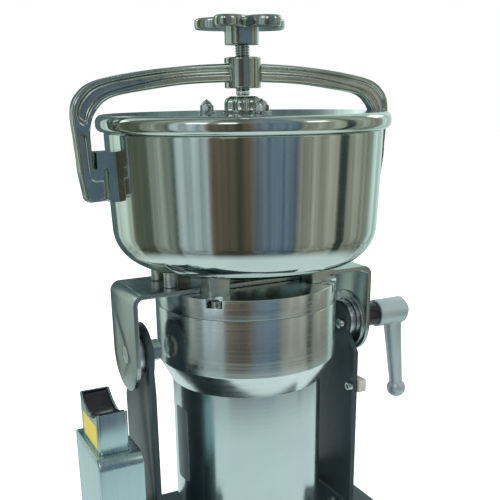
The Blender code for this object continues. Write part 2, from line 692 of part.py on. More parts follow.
def make_bowl():
    floor = BOWL_BOTTOM + BOWL_WALL
    bore = SHAFT_R + 0.004
    centre = (BOWL_SIDE_R - BOWL_CORNER, BOWL_BOTTOM + BOWL_CORNER)
    outside = [(bore, BOWL_BOTTOM)] + arc(centre, BOWL_CORNER, -90, 0, 6) + [(BOWL_RIM_R, BOWL_RIM_Z)]
    within = [(BOWL_RIM_R - BOWL_WALL, BOWL_RIM_Z)] + arc(centre, BOWL_CORNER - BOWL_WALL, 0, -90, 4)
    turned("bowl", outside + within + [(bore, floor)], POLISHED, SEG_BIG)
    seal_r = bore - GAP
    shaft = SHAFT_R + GAP
    seal = [(seal_r, BOWL_BOTTOM - 0.002), (seal_r, floor + GAP), (0.019, floor + GAP),
            (0.017, floor + 0.006), (shaft, floor + 0.006), (shaft, BOWL_BOTTOM - 0.002)]
    turned("shaft_seal", seal, RUBBER, 24)
    low = SHIELD_TOP + STRAP_T + 2 * GAP
    pin = [(0.0, low), (SPACER_R, low), (SPACER_R, BOWL_BOTTOM - GAP), (0.0, BOWL_BOTTOM - GAP)]
    for row, y in (("front", -SPACER_Y), ("rear", SPACER_Y)):
        for side, x in (("left", -SPACER_X), ("right", SPACER_X)):
            turned("%s_%s_spacer" % (row, side), pin, BRUSHED, SEG_SMALL, at(x, y, 0))


def bowl_radius(z):
    """The bowl's outer radius on its tapered side."""
    start = BOWL_BOTTOM + BOWL_CORNER
    share = (z - start) / (BOWL_RIM_Z - start)
    return BOWL_SIDE_R + (BOWL_RIM_R - BOWL_SIDE_R) * share


def make_lugs():
    """A block on each side of the bowl, with the lug that the arm's hook catches. Its back fits the bowl."""
    for name, side in (("left_lug", -1), ("right_lug", 1)):
        inner = BOWL_SIDE_R - 0.006
        section = [(inner, TOE_BOTTOM), (LUG_BLOCK_X, TOE_BOTTOM), (LUG_BLOCK_X, LUG_BOTTOM),
                   (LUG_REACH + 0.003, LUG_BOTTOM), (LUG_REACH + 0.003, LUG_TOP), (inner, LUG_TOP)]
        section = [(side * x, z) for x, z in section]
        lug = prism(name, section, -LUG_HALF_Y, LUG_HALF_Y, CHROME, FROM_FRONT)
        low = TOE_BOTTOM - 0.01
        high = LUG_TOP + 0.01
        seat = [(0.0, low), (bowl_radius(low) + GAP, low), (bowl_radius(high) + GAP, high), (0.0, high)]
        combine(lug, turned(name + "_seat", seat, None, SEG_BIG), "DIFFERENCE")
        ends = [(0.0, low), (LUG_REACH, low), (LUG_REACH, high), (0.0, high)]
        combine(lug, turned(name + "_end", ends, None, SEG_BIG), "INTERSECT")


def make_lid():
    seat = BOWL_RIM_Z + GAP
    roll = (LID_R - LID_EDGE_R, LID_TOP - LID_EDGE_R)
    skin = LID_TOP - LID_SKIN
    outside = [(0.0, LID_TOP)] + arc(roll, LID_EDGE_R, 90, 0, 4)
    outside += arc((roll[0], seat + 0.005), 0.0055, 0, -70, 3)
    under = [(LID_R - 0.006, seat), (LID_PLUG_R, seat), (LID_PLUG_R, LID_PLUG_BOTTOM),
             (LID_PLUG_R - 0.003, LID_PLUG_BOTTOM), (LID_PLUG_R - 0.003, skin), (0.0, skin)]
    turned("lid", outside + under, POLISHED, SEG_BIG)
    wall = BOWL_RIM_R - BOWL_WALL - 0.0009
    turned("lid_seal", tube(wall, LID_PLUG_R + GAP, LID_PLUG_BOTTOM + 0.001, seat - GAP), SILICONE, SEG_BIG)
    base = LID_TOP + GAP
    top = base + LID_HUB_H - GAP
    hub = [(0.0, base), (LID_HUB_FOOT_R, base), (LID_HUB_FOOT_R, base + 0.0015)]
    hub += arc((LID_HUB_FOOT_R, base + 0.0070), LID_HUB_FOOT_R - LID_HUB_R, 270, 180, 3)
    hub += arc((LID_HUB_R - 0.005, top - 0.005), 0.005, 0, 90, 4) + [(0.0, top)]
    turned("lid_hub", hub, CHROME, SEG_MID)
    turned("lid_stiffener", [(0.0, skin - GAP - 0.003), (0.042, skin - GAP - 0.003), (0.042, skin - GAP),
                             (0.0, skin - GAP)], BRUSHED, SEG_MID)
    for index, name in enumerate(("left", "front", "right")):
        angle = math.radians(NUT_FIRST_DEG + 120 * index)
        place = at(NUT_CIRCLE_R * math.cos(angle), NUT_CIRCLE_R * math.sin(angle), base)
        dome = [(0.0, 0.0), (NUT_R * 1.1, 0.0), (NUT_R * 1.1, 0.0012), (NUT_R * 0.98, 0.0012),
                (NUT_R * 0.98, 0.0055), (NUT_R * 0.80, 0.0062)]
        dome += arc((0.0, 0.0062), NUT_R * 0.70, 0, 90, 4)[:-1] + [(0.0, 0.0062 + NUT_R * 0.70)]
        turned(name + "_acorn_nut", dome, CHROME, 12, place)


def arm_edge(shares, reach, steps=2):
    """One edge of the arm's right half, as (X, Z), from the middle down to the hook."""
    base = LUG_BOTTOM - GAP
    return [(x * reach, base + z * (ARM_TOP - base)) for x, z in spline(shares, steps)]


def make_arm():
    """The cast clamp arm: one outline for both hooks, a thinned web on each face, and the screw's boss."""
    outer = arm_edge(ARM_OUTER, ARM_OUT)
    inner = arm_edge(ARM_INNER, ARM_IN)
    hook_top = LUG_BOTTOM - GAP
    hook = [(ARM_OUT - 0.0060, TOE_BOTTOM + 0.0025), (ARM_OUT - 0.0085, TOE_BOTTOM),
            (TOE_INNER + 0.0004, TOE_BOTTOM + 0.0008), (TOE_INNER, hook_top - 0.0015),
            (TOE_INNER + 0.0015, hook_top)]
    half = outer[1:] + hook + list(reversed(inner))[:-1]
    outline = [outer[0]] + half + [inner[0]] + [(-x, z) for x, z in reversed(half)]
    arm = prism("clamp_arm", outline, -ARM_HALF_Y, ARM_HALF_Y, CHROME, FROM_FRONT)
    upper, lower = [], []
    for (ox, oz), (ix, iz) in zip(outer, inner):
        if ox > BOSS_R + 0.006 and oz > LUG_TOP + LUG_H:
            upper.append((ix + (ox - ix) * ARM_WEB_TO, iz + (oz - iz) * ARM_WEB_TO))
            lower.append((ix + (ox - ix) * ARM_WEB_FROM, iz + (oz - iz) * ARM_WEB_FROM))
    web = upper + list(reversed(lower))
    face = ARM_HALF_Y + 0.002
    web_face = ARM_HALF_Y - ARM_WEB_DEEP
    bm = bmesh.new()
    for side in (-1, 1):
        mirrored = [(side * x, z) for x, z in web]
        add_prism(bm, mirrored, -face, -web_face, FROM_FRONT)
        add_prism(bm, mirrored, web_face, face, FROM_FRONT)
    combine(arm, add_object("web_guide", bm, None), "DIFFERENCE")
    edge = 0.0012
    boss = [(0.0, BOSS_BOTTOM), (BOSS_R - edge, BOSS_BOTTOM), (BOSS_R, BOSS_BOTTOM + edge),
            (BOSS_R, BOSS_TOP - edge), (BOSS_R - edge, BOSS_TOP), (0.0, BOSS_TOP)]
    combine(arm, turned("boss_guide", boss, None, SEG_MID), "UNION")
    drill(arm, CLAMP_SCREW_R + RUN, BOSS_BOTTOM - 0.01, BOSS_TOP + 0.01, [Matrix()], 24)


def knob_outline(steps=60):
    """Broad round lobes with shallow valleys between them."""
    points = []
    for step in range(steps):
        angle = math.tau * step / steps
        wave = 0.5 + 0.5 * math.cos(KNOB_LOBES * angle)
        radius = KNOB_VALLEY_R + (KNOB_R - KNOB_VALLEY_R) * wave ** 0.62
        turn = angle + math.radians(KNOB_FIRST_DEG)
        points.append((radius * math.cos(turn), radius * math.sin(turn)))
    return points


def make_clamp_screw():
    hub_top = LID_TOP + LID_HUB_H + GAP
    pad_bottom = hub_top
    pad_top = pad_bottom + PAD_H
    turned("screw_pad", [(0.0, pad_bottom), (PAD_R - 0.001, pad_bottom), (PAD_R, pad_bottom + 0.001),
                         (PAD_R, pad_top), (0.0, pad_top)], BRUSHED, 20)
    socket = KNOB_HUB_BOTTOM + 0.009
    screw = [(0.0, pad_top + GAP), (CLAMP_SCREW_R, pad_top + GAP), (CLAMP_SCREW_R, socket - GAP),
             (0.0, socket - GAP)]
    turned("clamp_screw", screw, CHROME, 18)
    knob = prism("star_knob", knob_outline(), KNOB_BOTTOM, KNOB_TOP, CHROME)
    bevel(knob, KNOB_EDGE, 1, 60)
    bore = CLAMP_SCREW_R + GAP
    edge = 0.0012
    hub = [(0.0, socket), (bore, socket), (bore, KNOB_HUB_BOTTOM), (KNOB_HUB_R - edge, KNOB_HUB_BOTTOM),
           (KNOB_HUB_R, KNOB_HUB_BOTTOM + edge), (KNOB_HUB_R, KNOB_BOTTOM + 0.003),
           (0.0, KNOB_BOTTOM + 0.003)]
    bm = bmesh.new()
    add_turned(bm, hub, 24)
    combine(knob, add_object("knob_hub_guide", bm, None), "UNION")


def make_lever():
    across = ALONG_X.copy()
    across.translation = (0, 0, TILT_Z)
    bore = STUD_R + GAP
    bush_start = STRAP_X + 0.001 + GAP
    turned("lever_bush", tube(BUSH_R, bore, bush_start, BUSH_END), BLACK_PLASTIC, 20, across)
    hub_start = BUSH_END + GAP
    socket = hub_start + 0.010
    tip = FORK_X + (STRAP_X - STRAP_T - FORK_X) * 0.55
    turned("clamp_stud", [(0.0, tip), (STUD_R, tip), (STUD_R, socket - GAP), (0.0, socket - GAP)],
           CHROME, SEG_SMALL, across)
    chamfer = 0.006
    hub = [(0.0, socket), (bore, socket), (bore, hub_start), (LEVER_HUB_R - 0.0008, hub_start),
           (LEVER_HUB_R, hub_start + 0.0008), (LEVER_HUB_R, LEVER_HUB_END - chamfer),
           (LEVER_HUB_R - chamfer, LEVER_HUB_END), (0.0, LEVER_HUB_END)]
    lever = turned("clamp_lever", hub, LEVER_GREY, 28, across)
    root = Vector((LEVER_ROOT_X, 0, TILT_Z - LEVER_HUB_R * 0.35))
    ball = Vector((LEVER_BALL_X, 0, LEVER_BALL_Z))
    length = (ball - root).length
    aim = (ball - root).to_track_quat("Z", "Y").to_matrix().to_4x4()
    aim.translation = root
    neck_end = length - LEVER_BALL_R * 0.7
    neck = [(0.0, 0.0), (LEVER_ROOT_R, 0.0), (LEVER_TIP_R, neck_end), (0.0, neck_end)]
    combine(lever, turned("lever_neck_guide", neck, None, 20, aim), "UNION")
    sphere = [(0.0, -LEVER_BALL_R)] + arc((0.0, 0.0), LEVER_BALL_R, -70, 70, 7) + [(0.0, LEVER_BALL_R)]
    aim.translation = ball
    combine(lever, turned("lever_ball_guide", sphere, None, 20, aim), "UNION")


def make_control_box():
    foot = DECK_Z + GAP
    fold = BOX_FOLD
    side = [(-BOX_FRONT, foot), (BOX_REAR, foot)]
    side += arc((BOX_REAR - 0.003, BOX_TOP - 0.003), 0.003, 0, 90, 2)
    side += arc((-BOX_FRONT + fold, BOX_TOP - fold), fold, 90, 180, 5)
    box = prism("control_box", side, -BOX_LEFT, -BOX_RIGHT, SHEET, FROM_SIDE)
    gland = Matrix.Rotation(math.radians(-90), 4, "X")
    gland.translation = (-(BOX_LEFT + BOX_RIGHT) / 2, 0, GLAND_Z)
    drill(box, GLAND_R * 0.75 + GAP, BOX_REAR - 0.012, BOX_REAR + 0.01, [gland], 20)
    stem = GLAND_R * 0.75
    nut = GLAND_R * 0.85
    profile = [(GLAND_BORE_R, BOX_REAR - 0.010), (stem, BOX_REAR - 0.010), (stem, BOX_REAR + GAP),
               (GLAND_R, BOX_REAR + GAP), (GLAND_R, BOX_REAR + 0.006), (nut, BOX_REAR + 0.007),
               (nut, BOX_REAR + 0.014), (GLAND_R * 0.6, BOX_REAR + 0.018), (GLAND_BORE_R, BOX_REAR + 0.018)]
    turned("cable_gland", profile, BLACK_PLASTIC, 20, gland)
    make_switch()


def make_switch():
    """The guard stands round a rocker switch. Its flanks are scooped for the finger."""
    low = BOX_TOP + GAP
    wall = GUARD_WALL
    guard = prism("switch_guard",
                  rounded_rectangle(-GUARD_LEFT, -GUARD_RIGHT, -GUARD_FRONT, GUARD_REAR, 0.0025, 2),
                  low, GUARD_TOP, SHEET)
    hollow = prism("guard_hollow",
                   rounded_rectangle(-GUARD_LEFT + wall, -GUARD_RIGHT - wall, -GUARD_FRONT + wall,
                                     GUARD_REAR - wall, 0.001, 1), low - 0.01, GUARD_TOP + 0.01, None)
    combine(guard, hollow, "DIFFERENCE")
    front_drop = GUARD_SCOOP * 0.35
    scoop = [(-GUARD_FRONT - 0.01, GUARD_TOP - front_drop)]
    start = -GUARD_FRONT + wall
    run = GUARD_REAR - wall - start
    for step in range(9):
        share = step / 8
        sag = GUARD_SCOOP * math.sin(math.pi * share) ** 0.8
        scoop.append((start + run * share, GUARD_TOP - front_drop * (1 - share) - sag))
    scoop += [(GUARD_REAR, GUARD_TOP + 0.001), (-GUARD_FRONT - 0.01, GUARD_TOP + 0.001)]
    guide = prism("guard_scoop", scoop, -GUARD_LEFT - 0.01, -GUARD_RIGHT + 0.01, None, FROM_SIDE)
    combine(guard, guide, "DIFFERENCE")
    clear = wall + GAP + 0.0004
    body_top = ROCKER_AXIS_Z - 0.006
    prism("switch_body",
          rounded_rectangle(-GUARD_LEFT + clear, -GUARD_RIGHT - clear, -GUARD_FRONT + clear,
                            GUARD_REAR - clear, 0.001, 1), low, body_top, BLACK_PLASTIC)
    half = ROCKER_HALF_Y
    side = [(half, -0.001), (half, 0.0015)] + arc((0.0, 0.0), ROCKER_R, 20, 160, 8)
    side += [(-half, 0.0015), (-half, -0.001), (0.0, -0.0055)]
    place = FROM_SIDE.copy()
    place.translation = (0, rocker_middle(), ROCKER_AXIS_Z)
    lean = clear + 0.0006
    prism("switch_rocker", side, -GUARD_LEFT + lean, -GUARD_RIGHT - lean, BLACK_PLASTIC, place)


def rocker_middle():
    return (GUARD_REAR - GUARD_FRONT) / 2


def set_origins():
    """Put each moving piece's origin on the axis that it turns about."""
    axes = {}
    for name in ("clamp_lever", "lever_bush", "clamp_stud", "left_pivot_shaft", "tilt_bracket"):
        axes[name] = (0.0, 0.0, TILT_Z)
    axes["clamp_arm"] = (0.0, 0.0, BOSS_BOTTOM)
    axes["switch_rocker"] = (-(GUARD_LEFT + GUARD_RIGHT) / 2, rocker_middle(), ROCKER_AXIS_Z)
    for name, place in axes.items():
        drop(bpy.data.objects[name], place)


def stand_over_origin():
    for obj in bpy.data.objects:
        if obj.parent is None:
            obj.location.x += AXIS_X


make_base()
make_fork()
make_pivots()
make_bracket()
make_motor()
make_spindle()
make_bowl()
make_lugs()
make_lid()
make_arm()
make_clamp_screw()
make_lever()
make_control_box()
set_origins()
stand_over_origin()
bpy.context.view_layer.update()
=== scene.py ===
"""The looks of a benchtop high-speed grinder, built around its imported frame."""
from math import atan2, cos, hypot, pi, radians, sin, tau

import bmesh
import bpy
from mathutils import Matrix, Vector


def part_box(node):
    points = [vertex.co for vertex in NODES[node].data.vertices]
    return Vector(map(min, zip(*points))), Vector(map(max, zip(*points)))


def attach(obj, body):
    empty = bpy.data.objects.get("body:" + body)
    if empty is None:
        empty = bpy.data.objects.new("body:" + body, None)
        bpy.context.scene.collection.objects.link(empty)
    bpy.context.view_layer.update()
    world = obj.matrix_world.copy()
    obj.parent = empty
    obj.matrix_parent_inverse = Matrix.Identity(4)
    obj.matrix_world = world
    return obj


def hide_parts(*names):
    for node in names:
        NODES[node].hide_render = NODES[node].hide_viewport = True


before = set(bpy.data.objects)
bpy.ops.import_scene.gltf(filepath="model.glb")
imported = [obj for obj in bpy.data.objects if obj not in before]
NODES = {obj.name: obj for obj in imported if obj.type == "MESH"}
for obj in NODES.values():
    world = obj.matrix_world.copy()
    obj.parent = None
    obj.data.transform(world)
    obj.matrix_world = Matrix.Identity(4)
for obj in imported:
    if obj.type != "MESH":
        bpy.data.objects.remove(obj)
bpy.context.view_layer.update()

GAP = 0.0003
# How far a cutting tool reaches beyond what it cuts
MARGIN = 0.01
# Bores for the tilt shaft and for the small screws, and the larger cap screws' head: radius and height
SHAFT_BORE = 0.0083
SCREW_BORE = 0.0033
DECK_HEAD = (0.0055, 0.004)
FINE = 160
MID = 64
SMALL = 32


def middle(low, high):
    return [(one + two) / 2 for one, two in zip(low, high)]


# The machine's own axis, from the turned casing, and the tilt axis, from the right pivot disc
AXIS_X = middle(*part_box("motor_casing"))[0]
TILT_Z = middle(*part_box("right_pivot_disc"))[2]


def span(node):
    """A node's box with x counted from the machine's axis."""
    low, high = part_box(node)
    shift = Vector((AXIS_X, 0, 0))
    return low - shift, high - shift


# Shapes

def at(x=0.0, y=0.0, z=0.0):
    return Matrix.Translation((x, y, z))


ALONG_X = Matrix.Rotation(radians(90), 4, "Y")
ALONG_MINUS_X = Matrix.Rotation(radians(-90), 4, "Y")
FROM_SIDE = Matrix(((0, 0, 1, 0), (1, 0, 0, 0), (0, 1, 0, 0), (0, 0, 0, 1)))
FROM_FRONT = Matrix(((1, 0, 0, 0), (0, 0, -1, 0), (0, 1, 0, 0), (0, 0, 0, 1)))
ON_TILT_AXIS = at(0, 0, TILT_Z) @ ALONG_X


def polar(radius, angle):
    return radius * cos(angle), radius * sin(angle)


def arc(centre, radius, start_deg, end_deg, steps=12):
    points = []
    for step in range(steps + 1):
        angle = radians(start_deg + (end_deg - start_deg) * step / steps)
        points.append((centre[0] + radius * cos(angle), centre[1] + radius * sin(angle)))
    return points


def circle(radius, segments=SMALL, start_deg=0.0):
    return arc((0.0, 0.0), radius, start_deg, start_deg + 360.0 * (segments - 1) / segments, segments - 1)


def rounded_rectangle(x0, x1, y0, y1, radius, steps=5):
    corners = ((x1 - radius, y1 - radius), (x0 + radius, y1 - radius), (x0 + radius, y0 + radius),
               (x1 - radius, y0 + radius))
    return [point for index, corner in enumerate(corners)
            for point in arc(corner, radius, 90 * index, 90 * index + 90, steps)]


def inset_box(low, high, inset, radius, steps):
    """The plan of a box with rounded corners, moved inwards by inset."""
    return rounded_rectangle(low.x + inset, high.x - inset, low.y + inset, high.y - inset, radius, steps)


def eased(points, radius, closed=True, steps=3):
    """The outline with each corner rounded by up to radius, and by no more than its sides allow."""
    count = len(points)
    result = []
    for index, here in enumerate(points):
        if not closed and index in (0, count - 1):
            result.append(tuple(here))
            continue
        spot = Vector(here)
        before = Vector(points[index - 1]) - spot
        after = Vector(points[(index + 1) % count]) - spot
        if before.length < 1e-7 or after.length < 1e-7:
            continue
        turn = before.angle(after)
        if turn > radians(165):
            result.append(tuple(here))
            continue
        reach = min(radius, before.length * 0.45, after.length * 0.45)
        start = spot + before.normalized() * reach
        end = spot + after.normalized() * reach
        for step in range(steps + 1):
            t = step / steps
            place = start * (1 - t) ** 2 + spot * 2 * t * (1 - t) + end * t ** 2
            result.append((place.x, place.y))
    return result


def tube(outer, inner, low, high, radius, steps=3):
    """The closed section of a ring, with its corners rounded."""
    return eased([(outer, low), (outer, high), (inner, high), (inner, low)], radius, True, steps)


def rod(outer, low, high, radius, steps=3):
    """The open section of a solid round piece, with its corners rounded."""
    return eased([(0.0, low), (outer, low), (outer, high), (0.0, high)], radius, False, steps)


def spline(points, steps):
    curve = []
    for index in range(len(points) - 1):
        before = Vector(points[max(index - 1, 0)])
        start = Vector(points[index])
        end = Vector(points[index + 1])
        after = Vector(points[min(index + 2, len(points) - 1)])
        for step in range(steps):
            t = step / steps
            spot = (start * 2 + (end - before) * t
                    + (before * 2 - start * 5 + end * 4 - after) * t ** 2
                    + (start * 3 - before - end * 3 + after) * t ** 3) / 2
            curve.append((spot.x, spot.y))
    curve.append(tuple(points[-1]))
    return curve


def add_turned(bm, profile, segments, matrix=Matrix()):
    """Turn a profile of (radius, height) about Z. One that starts and ends off the axis is closed."""
    rings = []
    for radius, height in profile:
        count = segments if radius > 0 else 1
        rings.append([bm.verts.new(matrix @ Vector((*polar(radius, tau * step / segments), height)))
                      for step in range(count)])
    pairs = list(zip(rings, rings[1:]))
    if len(rings[0]) > 1 and len(rings[-1]) > 1:
        pairs.append((rings[-1], rings[0]))
    for one, two in pairs:
        if len(one) == len(two) == 1:
            continue
        for step in range(segments):
            after = (step + 1) % segments
            corners = [one[index % len(one)] for index in (after, step)]
            corners += [two[index % len(two)] for index in (step, after)]
            bm.faces.new(tuple(dict.fromkeys(corners)))


def loft(bm, rows, closed=True):
    """Faces between each row of points and the next, and over both ends. Each row is a ring."""
    rings = [[bm.verts.new(point) for point in row] for row in rows]
    if closed:
        bm.faces.new(rings[0])
        bm.faces.new(rings[-1])
    for one, two in zip(rings, rings[1:]):
        for step in range(len(one)):
            after = (step + 1) % len(one)
            bm.faces.new((one[step], one[after], two[after], two[step]))
    return rings


def put(name, mesh):
    obj = bpy.data.objects.new(name, mesh)
    bpy.context.scene.collection.objects.link(obj)
    return obj


def mesh_from(name, bm):
    mesh = bpy.data.meshes.new(name)
    bm.to_mesh(mesh)
    bm.free()
    return mesh


def shade(mesh, smooth_deg=32.0):
    """Smooth shading, apart from edges that turn by more than smooth_deg."""
    mesh.shade_smooth()
    mesh.set_sharp_from_angle(angle=radians(smooth_deg))


def new_object(name, bm, smooth_deg=32.0):
    """An object from bm, which is modelled about the machine's axis and moved to it here."""
    bmesh.ops.recalc_face_normals(bm, faces=bm.faces)
    mesh = mesh_from(name, bm)
    mesh.transform(at(AXIS_X))
    shade(mesh, smooth_deg)
    return put(name, mesh)


def turned(name, profile, segments=FINE, matrix=Matrix()):
    bm = bmesh.new()
    add_turned(bm, profile, segments, matrix)
    return new_object(name, bm)


def lofted(name, rows, smooth_deg=32.0):
    bm = bmesh.new()
    loft(bm, rows)
    return new_object(name, bm, smooth_deg)


def prism(name, outline, low, high, matrix=Matrix()):
    return lofted(name, [[matrix @ Vector((x, y, z)) for x, y in outline] for z in (low, high)])


def combine(obj, tool, operation="DIFFERENCE"):
    modifier = obj.modifiers.new("cut", "BOOLEAN")
    modifier.operation = operation
    modifier.solver = "EXACT"
    modifier.object = tool
    settle(obj)
    bpy.data.objects.remove(tool, do_unlink=True)
    return obj


def cut(obj, outline, low, high, places=(Matrix(),), operation="DIFFERENCE"):
    """Cut a prism at each place away from the object, or keep only what lies inside them."""
    bm = bmesh.new()
    for place in places:
        loft(bm, [[place @ Vector((x, y, z)) for x, y in outline] for z in (low, high)])
    return combine(obj, new_object("guide", bm), operation)


def bevel(obj, width, segments=3, angle_deg=35.0):
    modifier = obj.modifiers.new("edges", "BEVEL")
    modifier.width = width
    modifier.segments = segments
    modifier.limit_method = "ANGLE"
    modifier.angle_limit = radians(angle_deg)
    modifier.harden_normals = False
    return obj


def settle(obj, smooth_deg=32.0):
    """Turn the object's modifiers into its mesh."""
    bpy.context.view_layer.update()
    seen = obj.evaluated_get(bpy.context.evaluated_depsgraph_get())
    mesh = bpy.data.meshes.new_from_object(seen)
    obj.modifiers.clear()
    old = obj.data
    obj.data = mesh
    bpy.data.meshes.remove(old)
    shade(mesh, smooth_deg)
    return obj


def drill(obj, radius, low, high, places, segments=SMALL):
    return cut(obj, circle(radius, segments), low, high, places)


def flute(bm, count, first, depth, low_z, inner, power=1.0):
    """Draw in what lies above a height and outside a radius, between lobes round the axis."""
    for vert in bm.verts:
        if vert.co.z > low_z and hypot(vert.co.x, vert.co.y) > inner:
            wave = 0.5 - 0.5 * cos(count * atan2(vert.co.y, vert.co.x) + first)
            shrink = 1.0 - depth * wave ** power
            vert.co.x *= shrink
            vert.co.y *= shrink


def join(name, objects):
    """One object from several, which stay separate shells in it."""
    bm = bmesh.new()
    for obj in objects:
        bm.from_mesh(obj.data)
        bpy.data.objects.remove(obj, do_unlink=True)
    mesh = mesh_from(name, bm)
    shade(mesh)
    return put(name, mesh)


# Materials

class Tree:
    """A short way to write the node tree of a material or a world."""

    def __init__(self, owner):
        self.owner = owner
        owner.use_nodes = True
        self.nodes = owner.node_tree.nodes
        self.links = owner.node_tree.links

    def node(self, kind, **values):
        made = self.nodes.new(kind)
        for key, value in values.items():
            if hasattr(made, key):
                setattr(made, key, value)
            else:
                made.inputs[key.replace("_", " ")].default_value = value
        return made

    def link(self, start, end):
        self.links.new(start, end)

    def math(self, operation, one, two):
        """Two sources, or a source and a number, made into one value."""
        made = self.node("ShaderNodeMath", operation=operation)
        self.link(one, made.inputs[0])
        if isinstance(two, float):
            made.inputs[1].default_value = two
        else:
            self.link(two, made.inputs[1])
        return made.outputs[0]

    def mix(self, factor, one, two):
        made = self.node("ShaderNodeMixShader")
        for index, source in enumerate((factor, one, two)):
            self.link(source, made.inputs[index])
        return made.outputs[0]

    def seen_directly(self):
        """1 for the camera's rays and for those that pass through glass, and 0 for others."""
        rays = self.node("ShaderNodeLightPath").outputs
        return self.math("MAXIMUM", rays["Is Camera Ray"], rays["Is Transmission Ray"])

    def noise(self, scale, stretch=(1.0, 1.0, 1.0), detail=4.0, roughness=0.55):
        source = self.node("ShaderNodeTexCoord").outputs["Object"]
        mapping = self.node("ShaderNodeMapping", Scale=stretch)
        self.link(source, mapping.inputs["Vector"])
        made = self.node("ShaderNodeTexNoise", Scale=scale, Detail=detail, Roughness=roughness)
        self.link(mapping.outputs["Vector"], made.inputs["Vector"])
        return made.outputs["Fac"]

    def spread(self, source, low, high, start=0.3, end=0.7):
        made = self.node("ShaderNodeMapRange", From_Min=start, From_Max=end, To_Min=low, To_Max=high)
        self.link(source, made.inputs["Value"])
        return made.outputs["Result"]

    def blend(self, factor, one, two):
        made = self.node("ShaderNodeMix", data_type="RGBA")
        made.inputs[6].default_value = (*one, 1.0)
        made.inputs[7].default_value = (*two, 1.0)
        self.link(factor, made.inputs[0])
        return made.outputs[2]

    def ramp(self, source, stops):
        """Stops are (place, colour) or (place, grey level)."""
        made = self.node("ShaderNodeValToRGB")
        elements = made.color_ramp.elements
        while len(elements) > 1:
            elements.remove(elements[-1])
        for index, (place, colour) in enumerate(stops):
            element = elements[0] if index == 0 else elements.new(place)
            element.position = place
            element.color = (*(colour if isinstance(colour, tuple) else (colour,) * 3), 1.0)
        self.link(source, made.inputs["Fac"])
        return made.outputs["Color"]

    def bump(self, source, strength, distance, below=None):
        made = self.node("ShaderNodeBump", Strength=strength, Distance=distance)
        self.link(source, made.inputs["Height"])
        if below is not None:
            self.link(below, made.inputs["Normal"])
        return made.outputs["Normal"]

    def finish(self, colour=None, roughness=None, normal=None, **values):
        """Set and link the surface's own shader, and return the material."""
        inputs = self.nodes["Principled BSDF"].inputs
        for key, value in values.items():
            inputs[key.replace("_", " ")].default_value = value
        for key, source in (("Base Color", colour), ("Roughness", roughness), ("Normal", normal)):
            if source is not None:
                self.link(source, inputs[key])
        return self.owner


def material_tree(name):
    return Tree(bpy.data.materials.new(name))


def mirror_steel(name, dark, light, rough, grain=(3.0, 3.0, 260.0), grain_rough=0.05, grain_bump=0.02):
    """Polished sheet: faint drawing lines round it, cloudy handling marks and a slight waviness."""
    tree = material_tree(name)
    cloud = tree.noise(9.0, detail=5.0)
    lines = tree.noise(1.0, grain, detail=3.0)
    colour = tree.blend(tree.spread(cloud, 0.0, 1.0), dark, light)
    roughness = tree.math("ADD", tree.spread(cloud, *rough), tree.spread(lines, 0.0, grain_rough))
    wave = tree.bump(tree.noise(14.0, detail=1.0), 0.10, 0.0006)
    normal = tree.bump(lines, grain_bump, 0.0004, wave)
    return tree.finish(colour, roughness, normal, Metallic=1.0)


def cast_chrome(name, dark, light):
    """Plating over a casting that was polished by hand: soft hollows, and a few fine pits."""
    tree = material_tree(name)
    cloud = tree.noise(40.0, detail=4.0)
    colour = tree.blend(tree.spread(cloud, 0.0, 1.0), dark, light)
    rough = tree.spread(tree.noise(90.0, detail=3.0), 0.05, 0.15)
    wave = tree.bump(tree.noise(85.0, detail=1.5), 0.25, 0.0006)
    normal = tree.bump(tree.noise(900.0, detail=2.0), 0.05, 0.0002, wave)
    return tree.finish(colour, rough, normal, Metallic=1.0)


def turned_metal(name, dark, light, rough=(0.10, 0.24), stretch=(6.0, 6.0, 900.0)):
    """Lathe-turned metal, with the tool's fine rings round it."""
    tree = material_tree(name)
    rings = tree.noise(1.0, stretch, detail=2.0)
    cloud = tree.noise(22.0, detail=4.0)
    colour = tree.blend(tree.spread(cloud, 0.0, 1.0), dark, light)
    normal = tree.bump(rings, 0.10, 0.0003)
    return tree.finish(colour, tree.spread(rings, *rough), normal, Metallic=1.0)


def brushed_sheet(name, dark, light, stretch=(8.0, 8.0, 500.0), rough=(0.26, 0.42)):
    """Satin sheet with its grain in one direction, and paler rubbed places."""
    tree = material_tree(name)
    grain = tree.noise(1.0, stretch, detail=4.0, roughness=0.7)
    cloud = tree.noise(11.0, detail=3.0)
    mix = tree.math("MULTIPLY", tree.spread(grain, 0.55, 1.0), tree.spread(cloud, 0.6, 1.0))
    normal = tree.bump(grain, 0.08, 0.0003)
    return tree.finish(tree.blend(mix, dark, light), tree.spread(grain, *rough), normal, Metallic=1.0)


def paint(name, dark, light, rough, metallic=0.0, peel=220.0, peel_bump=0.12, gloss=0.5):
    """Sprayed paint with orange peel and a little unevenness in colour and gloss."""
    tree = material_tree(name)
    cloud = tree.noise(16.0, detail=5.0)
    colour = tree.blend(tree.spread(cloud, 0.0, 1.0), dark, light)
    normal = tree.bump(tree.noise(peel, detail=2.0), peel_bump, 0.0004)
    rough = tree.spread(cloud, *rough)
    return tree.finish(colour, rough, normal, Metallic=metallic, Specular_IOR_Level=gloss)


def moulded(name, dark, light, rough, grain=700.0, grain_bump=0.10):
    """Plastic or rubber from a mould, with a fine grain."""
    tree = material_tree(name)
    cloud = tree.noise(25.0, detail=4.0)
    colour = tree.blend(tree.spread(cloud, 0.0, 1.0), dark, light)
    normal = tree.bump(tree.noise(grain, detail=2.0), grain_bump, 0.0003)
    return tree.finish(colour, tree.spread(cloud, *rough), normal)


